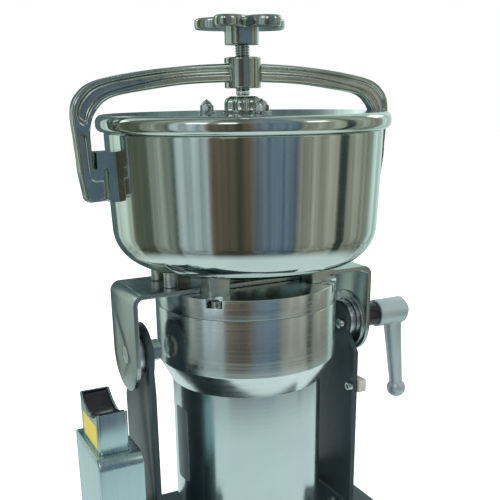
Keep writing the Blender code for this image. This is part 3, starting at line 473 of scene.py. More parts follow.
POLISHED = mirror_steel("polished_steel", (0.60, 0.67, 0.63), (0.71, 0.78, 0.74), (0.03, 0.075))
CASING = mirror_steel("casing_steel", (0.58, 0.67, 0.68), (0.67, 0.76, 0.77), (0.10, 0.18),
                      (5.0, 5.0, 420.0), grain_bump=0.03)
CHROME = cast_chrome("cast_chrome", (0.40, 0.46, 0.43), (0.57, 0.64, 0.60))
BRIGHT = turned_metal("bright_steel", (0.55, 0.60, 0.59), (0.70, 0.75, 0.73), (0.06, 0.16))
ALUMINIUM = turned_metal("turned_aluminium", (0.72, 0.79, 0.79), (0.84, 0.90, 0.89), (0.13, 0.26))
PIVOT = turned_metal("pivot_aluminium", (0.84, 0.88, 0.88), (0.93, 0.95, 0.95), (0.26, 0.40))
GROUND = brushed_sheet("ground_steel", (0.46, 0.51, 0.49), (0.68, 0.73, 0.70))
SHEET = brushed_sheet("satin_sheet", (0.34, 0.39, 0.38), (0.48, 0.54, 0.53), (500.0, 8.0, 8.0),
                      (0.18, 0.30))
BOX_SHEET = brushed_sheet("box_sheet", (0.42, 0.56, 0.58), (0.54, 0.69, 0.71), (110.0, 110.0, 5.0),
                          (0.20, 0.32))
BLACK_PAINT = paint("black_paint", (0.028, 0.047, 0.052), (0.046, 0.074, 0.080), (0.26, 0.36), peel=160.0,
                    peel_bump=0.04, gloss=0.28)
LEVER_GREY = paint("lever_grey", (0.38, 0.47, 0.49), (0.49, 0.58, 0.60), (0.28, 0.42), 0.55, 500.0, 0.08)
BLACK_PLASTIC = moulded("black_plastic", (0.012, 0.012, 0.014), (0.022, 0.022, 0.025), (0.10, 0.22), 120.0,
                        0.04)
RUBBER = moulded("black_rubber", (0.020, 0.020, 0.020), (0.040, 0.040, 0.040), (0.65, 0.85), 900.0, 0.25)
NYLON = moulded("natural_nylon", (0.42, 0.42, 0.36), (0.55, 0.55, 0.47), (0.40, 0.55))
SILICONE = moulded("pale_silicone", (0.62, 0.61, 0.57), (0.74, 0.73, 0.69), (0.50, 0.65))
COPPER = turned_metal("copper_winding", (0.55, 0.26, 0.12), (0.75, 0.38, 0.20), (0.30, 0.45),
                      (60.0, 60.0, 900.0))
IRON = turned_metal("core_iron", (0.20, 0.21, 0.21), (0.30, 0.31, 0.31), (0.35, 0.50), (6.0, 6.0, 1500.0))
LABEL = paint("blank_yellow_plate", (0.78, 0.62, 0.03), (0.88, 0.72, 0.06), (0.30, 0.42), 0.0, 500.0, 0.04)
# The casing's blank plate is pale, but its colour here is a dark blue-grey: painted shade, for the shadow
# it stands in
SHADED_PLATE = paint("blank_plate_painted_shade", (0.15, 0.21, 0.23), (0.21, 0.28, 0.30), (0.28, 0.38), 0.3, 500.0, 0.04)


def dress(obj, material, body, replaced=None):
    """Give a new piece its material and slot, the body it moves with and the node it stands for."""
    obj.data.materials.clear()
    obj.data.materials.append(material)
    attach(obj, body)
    if replaced:
        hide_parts(replaced)
    return obj


def recolour(node, material, width, segments):
    """Keep a node's own shape, with a finer material and its edges broken."""
    obj = NODES[node]
    obj.data.materials.clear()
    obj.data.materials.append(material)
    if width:
        bevel(obj, width, segments, 40.0)


# Bowl and lid

def make_bowl():
    low, high = span("bowl")
    rim_r, bottom, rim = high.x, low.z, high.z
    side_r = rim_r - 0.0025
    corner = 0.033
    wall = 0.0025
    bore = 0.012
    floor = bottom + wall
    centre = (side_r - corner, bottom + corner)
    outside = [(bore, bottom)] + arc(centre, corner, -90, 0, 24)
    straight = rim - 0.004 - centre[1]
    for step in range(1, 13):
        t = step / 12
        swell = sin(pi * t) * 0.0002
        outside.append((side_r + (rim_r - side_r) * t + swell, centre[1] + straight * t))
    lip = arc((rim_r - wall / 2, rim - wall / 2), wall / 2, 0, 180, 8)
    within = arc(centre, corner - wall, 0, -90, 16) + [(bore, floor)]
    bowl = turned("bowl_shell", outside + lip + within, FINE)
    dress(bowl, POLISHED, "head", "bowl")


def make_lid():
    low, high = span("lid")
    radius, top = high.x, high.z
    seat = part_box("bowl")[1].z + GAP
    plug = 0.1142
    roll = 0.006
    outside = [(0.0, top - 0.0001), (0.06, top - 0.00005), (radius - roll - 0.004, top)]
    outside += arc((radius - roll, top - roll), roll, 90, 0, 14)
    outside += arc((radius - 0.0052, seat + 0.0052), 0.0052, 0, -90, 10)
    under = [(plug + 0.0004, seat), (plug, seat - 0.0004), (plug, low.z + 0.0006), (plug - 0.0006, low.z),
             (plug - 0.0024, low.z), (plug - 0.003, low.z + 0.0006), (plug - 0.003, top - 0.0025),
             (0.0, top - 0.0025)]
    lid = turned("lid_shell", outside + under, FINE)
    dress(lid, POLISHED, "head", "lid")
    make_lid_hub()
    for name in ("left_acorn_nut", "front_acorn_nut", "right_acorn_nut"):
        low, high = span(name)
        place = at(*middle(low, high)[:2], low.z)
        make_acorn_nut(name, place, high.z - low.z, (high.x - low.x) / 2)


def make_lid_hub():
    """A cast hub: a round foot, a body with six soft lobes and a rounded crown under the screw."""
    low, high = span("lid_hub")
    base, top, foot, body = low.z, high.z, high.x, 0.0168
    profile = [(0.0, base), (foot - 0.0005, base), (foot, base + 0.0005), (foot, base + 0.0014)]
    profile += [(body + 0.0004, base + 0.0017), (body, base + 0.0026), (body, top - 0.0060)]
    profile += arc((body - 0.0060, top - 0.0060), 0.0060, 12, 90, 8) + [(0.004, top), (0.0, top)]
    bm = bmesh.new()
    add_turned(bm, profile, MID * 2)
    flute(bm, 6, 0.6, 0.20, base + 0.0016, 0.006, 1.5)
    dress(new_object("lid_hub_cast", bm), CHROME, "head", "lid_hub")


def make_acorn_nut(name, place, height, washer_r):
    """A collar, a chamfered hexagon and a pointed dome."""
    across = washer_r * 0.80
    hexagon = prism("hexagon", circle(across, 6, 12.0), 0.0012, 0.0062, place)
    cone = [(0.0, 0.0012), (across * 0.93, 0.0012), (across * 1.05, 0.0022), (across * 1.05, 0.0050),
            (across * 0.88, 0.0063), (0.0, 0.0063)]
    combine(hexagon, turned("nut_cone_guide", cone, MID, place), "INTERSECT")
    bevel(hexagon, 0.0003, 2, 40)
    settle(hexagon)
    dome_r = across * 0.78
    rise = height - 0.0062
    dome = [(0.0, 0.0058), (dome_r, 0.0058)]
    for share, part in ((0.0, 1.0), (0.18, 0.97), (0.36, 0.86), (0.52, 0.70), (0.66, 0.50), (0.80, 0.30),
                        (0.92, 0.13)):
        dome.append((dome_r * part, 0.0062 + rise * share))
    dome.append((0.0, height))
    collar = [(0.0, 0.0), (washer_r - 0.0002, 0.0), (washer_r, 0.0002), (washer_r, 0.0009),
              (washer_r - 0.0005, 0.0013), (0.0, 0.0013)]
    parts = [hexagon, turned("dome", dome, SMALL, place), turned("collar", collar, 48, place)]
    dress(join(name + "_fine", parts), BRIGHT, "head", name)


# Clamp arm, lugs, screw and knob

ARM_OUTER = ((0.0, 0.4683), (0.050, 0.4662), (0.095, 0.4615), (0.131, 0.4543),
             (0.146, 0.4440), (0.151, 0.4310), (0.150, 0.4105), (0.1483, 0.3850))
ARM_INNER = ((0.0, 0.4533), (0.052, 0.4515), (0.093, 0.4465), (0.119, 0.4415),
             (0.1315, 0.4320), (0.1372, 0.4190), (0.1376, 0.4030), (0.1372, 0.3872))
ARM_HALF_Y = 0.0065
BOSS_R = 0.0156
WEB_DEEP = 0.0026
WEB_END_Z = 0.4215
LEG_DEEP = 0.0011
LEG_TOP_Z = 0.4160
# The bore of the arm's boss and of the knob's hub
SCREW_SLEEVE = 0.0068

KNOB_LOBES = 5
KNOB_R = 0.0405
KNOB_VALLEY_R = 0.0215


def smooth_step(value, start, end):
    share = min(1.0, max(0.0, (value - start) / (end - start)))
    return share * share * (3 - 2 * share)


def arm_section(low, high, deep):
    """Shares of the width from the inner edge, and of the half thickness. The web is low to high."""
    rim = [(0.0, 0.62), (0.022, 0.82), (0.065, 0.95), (0.12, 1.0)]
    centre, half = (low + high) / 2, (high - low) / 2
    dip = ((-1.0, 0.0), (-0.86, 0.30), (-0.74, 0.80), (-0.42, 0.96), (0.0, 1.0), (0.42, 0.96), (0.74, 0.80),
           (0.86, 0.30), (1.0, 0.0))
    hollow = [(centre + half * place, 1.0 - deep * share) for place, share in dip]
    return rim + hollow + [(1.0 - share, depth) for share, depth in reversed(rim)]


def arm_half(side, outer, inner):
    """Half of the bow and its leg, as one skin over the sections between its two edges."""
    rows = []
    for (ox, oz), (ix, iz) in zip(outer, inner):
        if ox < 0.010:
            continue
        height = (oz + iz) / 2
        if ox < 0.12 or height > WEB_END_Z:
            fade = 1.0 if ox < 0.12 else smooth_step(height, WEB_END_Z, WEB_END_Z + 0.005)
            corner = smooth_step(ox, 0.06, 0.14)
            low = 0.40 - 0.18 * corner
            narrow = 0.14 * (1.0 - fade)
            section = arm_section(low + narrow, 0.79 - narrow, WEB_DEEP / ARM_HALF_Y * fade)
        else:
            fade = smooth_step(LEG_TOP_Z - height, 0.0, 0.004)
            section = arm_section(0.30, 0.88, LEG_DEEP / ARM_HALF_Y * fade)
        loop = [(share, -depth) for share, depth in section] + section[::-1]
        rows.append([(side * (ix + (ox - ix) * share), depth * ARM_HALF_Y, iz + (oz - iz) * share)
                     for share, depth in loop])
    return lofted("bow", rows)


def make_toe(side):
    """The hook's toe under the lug. Its hollow leaves a rim that bends like a J round the notch."""
    block = [(0.1387, 0.3930), (0.1380, 0.3872), (0.1294, 0.3872), (0.1279, 0.3857), (0.1283, 0.3613),
             (0.1425, 0.3605), (0.1450, 0.3630), (0.1483, 0.3850), (0.1488, 0.3930)]
    toe = prism("toe", [(side * x, z) for x, z in block], -ARM_HALF_Y, ARM_HALF_Y, FROM_FRONT)
    settle(bevel(toe, 0.0013, 3, 40))
    hollow = [(0.1472, 0.3950), (0.1408, 0.3950), (0.1408, 0.3836)]
    hollow += arc((0.1356, 0.3828), 0.0052, 0, -90, 6)
    hollow += [(0.1299, 0.3776), (0.1301, 0.3632), (0.1420, 0.3626), (0.1437, 0.3650), (0.1468, 0.3850)]
    hollow = [(side * x, z) for x, z in hollow]
    web = ARM_HALF_Y - LEG_DEEP
    for start, end in ((-ARM_HALF_Y - MARGIN, -web), (web, ARM_HALF_Y + MARGIN)):
        cut(toe, hollow, start, end, [FROM_FRONT])
    return toe


def make_arm():
    outer, inner = spline(ARM_OUTER, 12), spline(ARM_INNER, 12)
    parts = [turned("boss", tube(BOSS_R, SCREW_SLEEVE, 0.448, 0.473, 0.0012, 4), MID)]
    for side in (-1, 1):
        parts += [arm_half(side, outer, inner), make_toe(side)]
    arm = join("clamp_arm_cast", parts)
    skin_over(arm, 0.00045, 4)
    dress(arm, CHROME, "arm", "clamp_arm")


def skin_over(obj, voxel, rounds):
    """Fuse the object's shells into one skin, with the small fillets that a casting has."""
    remesh = obj.modifiers.new("skin", "REMESH")
    remesh.mode = "VOXEL"
    remesh.voxel_size = voxel
    soften = obj.modifiers.new("soften", "SMOOTH")
    soften.factor = 0.5
    soften.iterations = rounds
    settle(obj, 60)


def knob_radius(angle):
    wave = (0.5 + 0.5 * cos(KNOB_LOBES * angle)) ** 0.62
    return KNOB_VALLEY_R + (KNOB_R - KNOB_VALLEY_R) * wave


def make_knob():
    """Five broad lobes with rolled edges, thinner towards their ends, on a fluted hub."""
    low, high = span("star_knob")
    disc_low, disc_high = 0.494, high.z
    first = radians(2.3)
    steps, edge, inner, web, thin = 240, 0.0024, 0.008, 0.018, 0.0014
    turns = [radians(degrees) for degrees in (0, 22, 45, 68, 90)]
    roll = [(edge * (1 - sin(turn)), edge * (1 - cos(turn))) for turn in turns]
    rows = [(inner, 0.0, disc_low, thin), (web, 0.0, disc_low, thin)]
    rows += [(None, inset, disc_low + rise, thin) for inset, rise in roll]
    rows += [(None, inset, disc_high - rise, -thin / 2) for inset, rise in reversed(roll)]
    rows += [(web, 0.0, disc_high, -thin / 2), (inner, 0.0, disc_high, -thin / 2)]
    rings = []
    for fixed, inset, z, lift in rows:
        ring = []
        for step in range(steps):
            angle = tau * step / steps
            radius = fixed or knob_radius(angle) - inset
            ring.append((*polar(radius, angle + first), z + lift * radius / KNOB_R))
        rings.append(ring)
    knob = lofted("star_knob_cast", rings)
    bm = bmesh.new()
    add_turned(bm, tube(0.0150, SCREW_SLEEVE, low.z, disc_low + 0.004, 0.0012, 4), MID * 2)
    flute(bm, KNOB_LOBES, -KNOB_LOBES * first, 0.09, 0.0, 0.012)
    dress(join("star_knob_fine", [knob, new_object("hub", bm)]), CHROME, "knob", "star_knob")


def make_screw():
    """A rod with a real helical thread between two chamfered ends."""
    bottom, top = span("clamp_screw")
    low, high = bottom.z, top.z
    radius, pitch = 0.0065, 0.0020
    sides, per_turn = 40, 6
    rows = int((high - low) / pitch * per_turn)
    deep = pitch * 0.55
    rings = []
    for row in range(rows + 1):
        z = low + (high - low) * row / rows
        fade = min(1.0, (z - low) / pitch, (high - z) / pitch)
        ring = []
        for side in range(sides):
            share = (z / pitch - side / sides) % 1.0
            groove = deep * abs(2 * share - 1) * max(fade, 0.35)
            reach = radius - deep * (1 - fade) * 0.6 - groove
            ring.append((*polar(reach, tau * side / sides), z))
        rings.append(ring)
    dress(lofted("clamp_screw_threaded", rings, 50), BRIGHT, "knob", "clamp_screw")


# Motor

def socket_head(place, radius=0.0048, height=0.0052):
    """A cap screw's head with its hexagon socket, standing on z = 0."""
    head = turned("head", rod(radius, -0.0004, height, radius * 0.12), 40, place)
    return cut(head, circle(radius * 0.52, 6), height * 0.45, height + 0.001, [place])


def curved_plate(name, radius, thick, middle_deg, half, low_z, high_z, corner):
    """A thin plate with rounded corners, bent round an upright cylinder of the given radius."""
    turns = [radians(degrees) for degrees in range(0, 91, 15)]
    rounds = [(corner * (1 - cos(turn)), corner * (1 - sin(turn))) for turn in turns]
    levels = [(low_z + rise, half - lost) for rise, lost in rounds]
    levels += [(high_z - rise, half - lost) for rise, lost in rounds[::-1]]
    shares = [column / 8 - 1 for column in range(17)]
    loop = [(radius + 0.00005, share) for share in shares]
    loop += [(radius + thick, share) for share in reversed(shares)]
    return lofted(name, [[(*polar(reach, radians(middle_deg) + width * share / radius), z)
                          for reach, share in loop] for z, width in levels])


def make_casing():
    low, high = span("motor_casing")
    radius, bottom, top = high.x, low.z, high.z
    wall, fillet = 0.002, 0.028
    centre = (radius - fillet, bottom + fillet)
    profile = [(0.0, bottom)] + arc(centre, fillet, -90, 0, 20) + [(radius, top), (radius - wall, top)]
    profile += arc(centre, fillet - wall, 0, -90, 12) + [(0.0, bottom + wall)]
    dress(turned("motor_casing_spun", profile, FINE), CASING, "head", "motor_casing")
    # The blank plate on the casing, in a colour darkened to painted shade
    plate = curved_plate("blank_casing_plate", radius, 0.0004, 183.8, 0.0105, 0.093, 0.166, 0.003)
    dress(plate, SHADED_PLATE, "head")


SHIELD_TOP = 0.281


def make_shields():
    """Turned end shields: the lower with its bearing's seat, the upper with four notches for screws."""
    low, high = span("lower_end_shield")
    radius, bottom, seam = high.x, low.z, high.z
    chamfer = 0.212
    bearing, web, rim = seam - 0.0126, seam - 0.0156, bottom + 0.006
    lower = [(0.0725, bottom), (radius, chamfer), (radius, seam), (0.0203, seam), (0.0203, bearing),
             (0.016, bearing), (0.016, web), (0.066, web), (0.066, rim), (0.0713, rim), (0.0713, bottom)]
    shield = turned("lower_end_shield_turned", eased(lower, 0.0005, True, 3), FINE)
    dress(shield, ALUMINIUM, "head", "lower_end_shield")

    seam, top = span("upper_end_shield")[0].z, SHIELD_TOP
    shield = turned("upper_end_shield_turned", tube(radius, 0.011, seam, top, 0.0005), FINE)
    width, deep, drop = 0.014, 0.012, 0.0075
    turns = [Matrix.Rotation(radians(45 + 90 * index), 4, "Z") for index in range(4)]
    notch = rounded_rectangle(radius - deep, radius + MARGIN, -width / 2, width / 2, 0.004, 6)
    cut(shield, notch, top - drop, top + MARGIN, turns)
    heads = [socket_head(turn @ at(radius - width / 2, 0, top - drop)) for turn in turns]
    bevel(shield, 0.0004, 2, 50)
    settle(shield)
    dress(shield, ALUMINIUM, "head", "upper_end_shield")
    dress(join("shield_screw_heads", heads), BRIGHT, "head")


def make_posts():
    """Square posts on the upper shield, and the round spacers between them and the bowl."""
    post_top, half = span("upper_end_shield")[1].z, 0.0095
    posts = []
    for x in (-0.050, 0.050):
        for y in (-0.0425, 0.0425):
            outline = rounded_rectangle(x - half, x + half, y - half, y + half, 0.0012, 3)
            post = prism("post", outline, SHIELD_TOP, post_top)
            posts.append(settle(bevel(post, 0.0005, 2, 50)))
    dress(join("bowl_posts", posts), GROUND, "head")
    for name in ("front_left_spacer", "front_right_spacer", "rear_left_spacer", "rear_right_spacer"):
        low, high = span(name)
        pin = rod((high.x - low.x) / 2, low.z, high.z, 0.0005, 2)
        place = at(*middle(low, high)[:2])
        dress(turned(name + "_fine", pin, 40, place), GROUND, "head", name)


# Bracket, fork and pivots

def make_bracket():
    high = span("tilt_bracket")[1]
    reach, half, top = high.x, 0.032, high.z
    thick, bend = 0.004, 0.009
    bottom = TILT_Z - half - MARGIN
    centre = (reach - bend, top - bend)
    right = [(reach, bottom)] + arc(centre, bend, 0, 90, 14)
    left = [(-x, z) for x, z in reversed(right)]
    inside = [(reach - thick, bottom)] + arc(centre, bend - thick, 0, 90, 10)
    inside = [(-x, z) for x, z in inside] + list(reversed(inside))
    strap = prism("tilt_bracket_bent", right + left + inside, -half, half, FROM_FRONT)
    ear, above = half + 0.0001, top + MARGIN
    ears = arc((0.0, TILT_Z), ear, 180, 360, 60) + [(ear, above), (-ear, above)]
    cut(strap, ears, -reach - MARGIN, reach + MARGIN, [FROM_SIDE], "INTERSECT")
    ring = tube(0.029, 0.0205, 0.113, reach - thick + 0.001, 0.0005, 2)
    combine(strap, turned("ear_ring_guide", ring, 96, ON_TILT_AXIS), "UNION")
    for radius, height, place in ((0.0093, reach, ON_TILT_AXIS), (SHAFT_BORE, -reach, ON_TILT_AXIS),
                                  (0.012, top, Matrix())):
        drill(strap, radius, height - MARGIN, height + MARGIN, [place], 48)
    bevel(strap, 0.0006, 3, 50)
    settle(strap)
    dress(strap, SHEET, "head", "tilt_bracket")


def make_pivots():
    """The discs that carry the head, with a cap screw on the right, and a washer and nut on the left."""
    low, high = span("right_pivot_disc")
    start, end, radius = low.x, high.x, (high.z - low.z) / 2
    face = 0.1157
    bore, depth = 0.0053, 0.1111
    disc = [(0.0, start), (radius, start), (radius, face), (0.009, face), (0.009, end), (bore, end),
            (bore, depth), (0.0, depth)]
    disc = turned("right_pivot_disc_turned", eased(disc, 0.0007, False, 4), 96, ON_TILT_AXIS)
    low, high = span("right_pivot_screw")
    screw_y = middle(low, high)[1]
    on_screw = at(0, screw_y) @ ON_TILT_AXIS
    drill(disc, SCREW_BORE, start - 0.001, high.x + GAP, [on_screw], 24)
    dress(disc, PIVOT, "stand", "right_pivot_disc")
    inner = low.x + 0.0052
    head = socket_head(at(inner, screw_y, TILT_Z) @ ALONG_MINUS_X)
    shank = turned("shank", [(0.0, inner), (0.003, inner), (0.003, high.x), (0.0, high.x)], 24, on_screw)
    dress(join("right_pivot_screw_fine", [head, shank]), BRIGHT, "stand", "right_pivot_screw")

    outward = at(0, 0, TILT_Z) @ ALONG_MINUS_X
    ring = tube(radius, SHAFT_BORE, start, face, 0.0007, 4)
    dress(turned("left_pivot_disc_turned", ring, 96, outward), PIVOT, "stand", "left_pivot_disc")
    low, high = span("left_pivot_washer")
    ring = tube(0.0105, SHAFT_BORE, -high.x, -low.x, 0.0005)
    dress(turned("left_pivot_washer_fine", ring, 64, outward), NYLON, "stand", "left_pivot_washer")
    low, high = span("left_pivot_nut")
    across = (high.y - low.y) / 2
    start, end, wide = -high.x, -low.x, across * 1.2
    hexagon = circle(max(across, (high.z - low.z) / 2), 6)
    nut = prism("left_pivot_nut_fine", hexagon, start, end, outward)
    cone = [(0.0, start), (across * 0.95, start), (wide, start + 0.0014), (wide, end), (0.0, end)]
    combine(nut, turned("nut_cone_guide", cone, MID, outward), "INTERSECT")
    drill(nut, 0.0059, start - 0.001, end + 0.001, [outward])
    dress(settle(bevel(nut, 0.0003, 2, 40)), BRIGHT, "head", "left_pivot_nut")


def make_lever():
    """A chamfered hub that reaches over the outer end of its bush, a tapered neck and a ball."""
    low, high = span("clamp_lever")
    over = 0.0080
    hub_start, hub_end, hub_r = low.x - over, 0.188, 0.014
    chamfer = 0.006
    socket = low.x + 0.010
    hub = [(0.0, socket), (0.0055, socket), (0.0055, hub_start), (hub_r, hub_start)]
    hub += [(hub_r, hub_end - chamfer), (hub_r - chamfer, hub_end), (0.0, hub_end)]
    hub = turned("hub", eased(hub, 0.0007, False, 4), 72, ON_TILT_AXIS)
    root = Vector((0.172, 0, TILT_Z - hub_r * 0.35))
    ball = Vector((high.x - 0.010, 0, low.z + 0.010))
    length = (ball - root).length
    aim = (ball - root).to_track_quat("Z", "Y").to_matrix().to_4x4()
    aim.translation = root
    neck = [(0.0, 0.0)]
    for step in range(13):
        t = step / 12
        swell = 0.0016 * max(0.0, 1 - t * 6) ** 2
        neck.append((0.0095 + (0.0066 - 0.0095) * t + swell, length * t))
    neck.append((0.0, length))
    neck = turned("neck", neck, 48, aim)
    aim = aim.copy()
    aim.translation = ball
    sphere = [(0.0, -0.010)] + arc((0.0, 0.0), 0.010, -84, 84, 24) + [(0.0, 0.010)]
    lever = join("clamp_lever_cast", [hub, neck, turned("ball", sphere, 48, aim)])
    skin_over(lever, 0.0005, 3)
    dress(lever, LEVER_GREY, "lever", "clamp_lever")
    low, high = span("lever_bush")
    ring = tube(0.012, 0.0053, low.x, high.x - over, 0.0006)
    dress(turned("lever_bush_fine", ring, 72, ON_TILT_AXIS), BLACK_PLASTIC, "lever", "lever_bush")


# Stand and control box

def make_upright(name, side, head_r, front):
    """One fork arm, bent from plate, with a round head at the tilt axis and a flared foot."""
    low, high = span(name)
    foot, rear, flare, thick, flange = low.z, 0.046, 0.014, 0.005, 0.026
    reach = max(abs(low.x), abs(high.x))
    points = arc((rear + flare, foot + flare), flare, 270, 180, 12) + [(rear, TILT_Z - 0.055)]
    points += arc((0.0, TILT_Z), head_r, -25, 205, 48) + [(-front, TILT_Z - head_r - 0.006)]
    points += arc((-front - flare, foot + flare), flare, 0, -90, 12)
    outline = [(y, z - 0.001 if z < foot + 0.0001 else z) for y, z in points]
    bend = thick * 1.6
    top = TILT_Z + head_r + MARGIN
    section = [(reach, top)] + arc((reach - bend, foot + bend), bend, 0, -90, 10)
    section += [(reach - thick - flange, foot), (reach - thick - flange, foot + thick)]
    section += arc((reach - bend, foot + bend), bend - thick, -90, 0, 8) + [(reach - thick, top)]
    section = [(side * x, z) for x, z in section]
    wall = prism(name + "_bent", section, -0.07, 0.07, FROM_FRONT)
    cut(wall, outline, -reach - MARGIN, reach + MARGIN, [FROM_SIDE], "INTERSECT")
    if side < 0:
        drill(wall, SHAFT_BORE, -reach - MARGIN, -reach + MARGIN, [ON_TILT_AXIS], 48)
    else:
        bores = [middle(*span(screw)) for screw in ("tilt_stop_screw", "right_pivot_screw")]
        places = [at(0, y, z - TILT_Z) @ ON_TILT_AXIS for x, y, z in bores]
        drill(wall, SCREW_BORE, reach - MARGIN, reach + MARGIN, places, 24)
    bevel(wall, 0.0007, 3, 50)
    dress(settle(wall), BLACK_PAINT, "stand", name)
    deck = foot + thick
    across = side * (reach - thick - flange / 2)
    heads = [socket_head(at(across, y, deck), *DECK_HEAD) for y in (-0.0215, 0.0345)]
    if side > 0:
        for turn in (radians(60), radians(-60)):
            spot = at(reach - thick, 0.0124 * cos(turn), TILT_Z + 0.0124 * sin(turn))
            heads.append(socket_head(spot @ ALONG_MINUS_X))
    dress(join(name + "_screw_heads", heads), BRIGHT, "stand")


def make_base():
    low, high = span("base_plate")
    deck = low.z + 0.006
    plate = prism("base_plate_cut", rounded_rectangle(low.x, high.x, low.y, high.y, 0.014, 10), low.z, deck)
    bevel(plate, 0.0008, 3, 50)
    dress(settle(plate), BLACK_PAINT, "stand", "base_plate")
    inset = 0.022
    heads = [socket_head(at(x, y, deck), *DECK_HEAD) for x in (low.x + inset, high.x - inset)
             for y in (low.y + inset, high.y - inset)]
    dress(join("base_screw_heads", heads), BRIGHT, "stand")
    for name in ("front_left_foot", "front_right_foot", "rear_left_foot", "rear_right_foot"):
        low, high = span(name)
        height, radius = high.z - low.z, (high.x - low.x) / 2
        foot = [(0.0, 0.0), (radius * 0.84, 0.0), (radius * 0.95, 0.0012), (radius, height * 0.14),
                (radius * 0.985, height * 0.22)]
        for step in range(1, 5):
            z = height * (0.22 + 0.17 * step)
            groove = radius * (0.985 - 0.035 * step)
            foot += [(groove, z - 0.0012), (groove - 0.0006, z - 0.0006), (groove - 0.0006, z)]
        foot += [(radius * 0.83, height), (0.0, height)]
        place = at(*middle(low, high)[:2])
        dress(turned(name + "_ribbed", foot, MID, place), RUBBER, "stand", name)


def make_control_box():
    """A folded steel box with a lap seam round each flank and a soft bend along the front of its top."""
    low, high = span("control_box")
    fold = 0.010
    side = [(low.y, low.z), (high.y, low.z)] + arc((high.y - 0.003, high.z - 0.003), 0.003, 0, 90, 6)
    side += arc((low.y + fold, high.z - fold), fold, 90, 180, 16)
    box = prism("control_box_folded", side, low.x, high.x, FROM_SIDE)
    bevel(box, 0.0018, 4, 50)
    settle(box)
    lap, deep = 0.0045, 0.0004
    outer = [(low.y + lap, low.z + lap), (high.y - lap, low.z + lap)]
    outer += arc((high.y - lap - 0.002, high.z - lap - 0.002), 0.002, 0, 90, 4)
    outer += arc((low.y + fold, high.z - fold), fold - lap, 90, 180, 8)
    inner = inset_outline(outer, 0.0005)
    for start, end in ((low.x - 0.001, low.x + deep), (high.x - deep, high.x + 0.001)):
        groove = prism("groove", outer, start, end, FROM_SIDE)
        combine(box, cut(groove, inner, start - 0.001, end + 0.001, [FROM_SIDE]))
    gland = middle(*span("cable_gland"))
    on_gland = at(gland[0], 0, gland[2]) @ FROM_FRONT
    drill(box, 0.0078, -high.y - 0.005, -high.y + 0.012, [on_gland])
    dress(box, BOX_SHEET, "stand", "control_box")


def inset_outline(points, amount):
    """A counterclockwise outline moved inwards by amount."""
    moved = []
    for index, here in enumerate(points):
        before = Vector(here) - Vector(points[index - 1])
        after = Vector(points[(index + 1) % len(points)]) - Vector(here)
        normals = [Vector((-v.y, v.x)).normalized() for v in (before, after) if v.length > 1e-7]
        normal = sum(normals, Vector((0.0, 0.0))) / len(normals)
        spot = Vector(here) + normal * (amount / max(normal.length_squared, 0.3))
        moved.append((spot.x, spot.y))
    return moved


def scoop_outline(low, high, top, lift, wall=0.002):
    """What is cut away above the guard's scooped edge, as (Y, Z), raised by lift."""
    deep, front_drop = 0.010, 0.0035
    outline = [(low - MARGIN, top - front_drop + lift)]
    start, run = low + wall, high - low - 2 * wall
    for step in range(33):
        share = step / 32
        sag = deep * sin(pi * share) ** 0.8
        outline.append((start + run * share, top - front_drop * (1 - share) - sag + lift))
    rear, edge, above = high + MARGIN, top + 0.001, top + 2 * MARGIN
    return outline + [(high, edge), (rear, edge), (rear, above), (low - MARGIN, above)]


def make_rocker():
    """A glossy saddle that dips for the finger and stands highest at the rear."""
    low, high = span("switch_rocker")
    axis_y, axis_z = middle(low, high)[1], low.z + 0.0055
    half, rim, skirt = 0.0222, 0.0015, -0.001
    dip = spline([(-0.0209, 0.0058), (-0.0150, 0.0042), (-0.0060, 0.0030), (0.0035, 0.0038),
                  (0.0125, 0.0082), (0.0185, 0.0133), (0.0206, 0.0138)], 6)
    outline = [(0.0, -0.0055), (half, skirt), (half, rim)] + dip[::-1] + [(-half, rim), (-half, skirt)]
    placed = [(y + axis_y, z + axis_z) for y, z in outline]
    rocker = prism("switch_rocker_saddle", placed, low.x, high.x, FROM_SIDE)
    bevel(rocker, 0.0009, 4, 40)
    dress(settle(rocker), BLACK_PLASTIC, "rocker", "switch_rocker")


def make_switch():
    """A folded guard round the switch, a black lining inside its walls that paints the shade there, and a
    blank plate on its flank.
    """
    low, high = span("switch_guard")

    def shell(name, bottom, inset, wall, corners, lift):
        """A tube between two plans, with the scoop cut from its upper edge."""
        made = prism(name, inset_box(low, high, inset, *corners[0]), bottom, high.z)
        cut(made, inset_box(low, high, inset + wall, *corners[1]), bottom - MARGIN, high.z + MARGIN)
        scoop = scoop_outline(low.y, high.y, high.z, lift)
        return cut(made, scoop, low.x - MARGIN, high.x + MARGIN, [FROM_SIDE])

    wall, gap = 0.002, 0.00015
    guard = shell("switch_guard_folded", low.z, 0.0, wall, ((0.0032, 8), (0.0014, 5)), 0.0)
    bevel(guard, 0.0005, 2, 50)
    dress(settle(guard), BOX_SHEET, "stand", "switch_guard")
    body_top = span("switch_body")[1].z + GAP
    corners = ((0.0013, 5), (0.0008, 5))
    # The black lining is painted shade: the guard's inner walls lie in shadow, and this thin black shell
    # darkens them
    dress(shell("switch_painted_shade_liner", body_top, wall + gap, 0.0008, corners, 0.0013), BLACK_PLASTIC, "stand")
    label = rounded_rectangle(low.y + 0.0045, high.y - 0.010, low.z + 0.0035, high.z - 0.0145, 0.0012, 4)
    plate = prism("blank_guard_plate", label, low.x - 0.0003, low.x - 0.00002, FROM_SIDE)
    dress(plate, LABEL, "stand")


# Stage

# The room's section from its floor outwards and up: radius, height and share of the way
ROOM_PROFILE = ((0.06, 0.0006, 0.0), (0.34, 0.0006, 0.13), (0.9, 0.0006, 0.38), (0.9, 0.40, 0.55),
                (0.9, 1.0, 0.80), (0.40, 1.35, 0.96), (0.03, 1.45, 1.0))
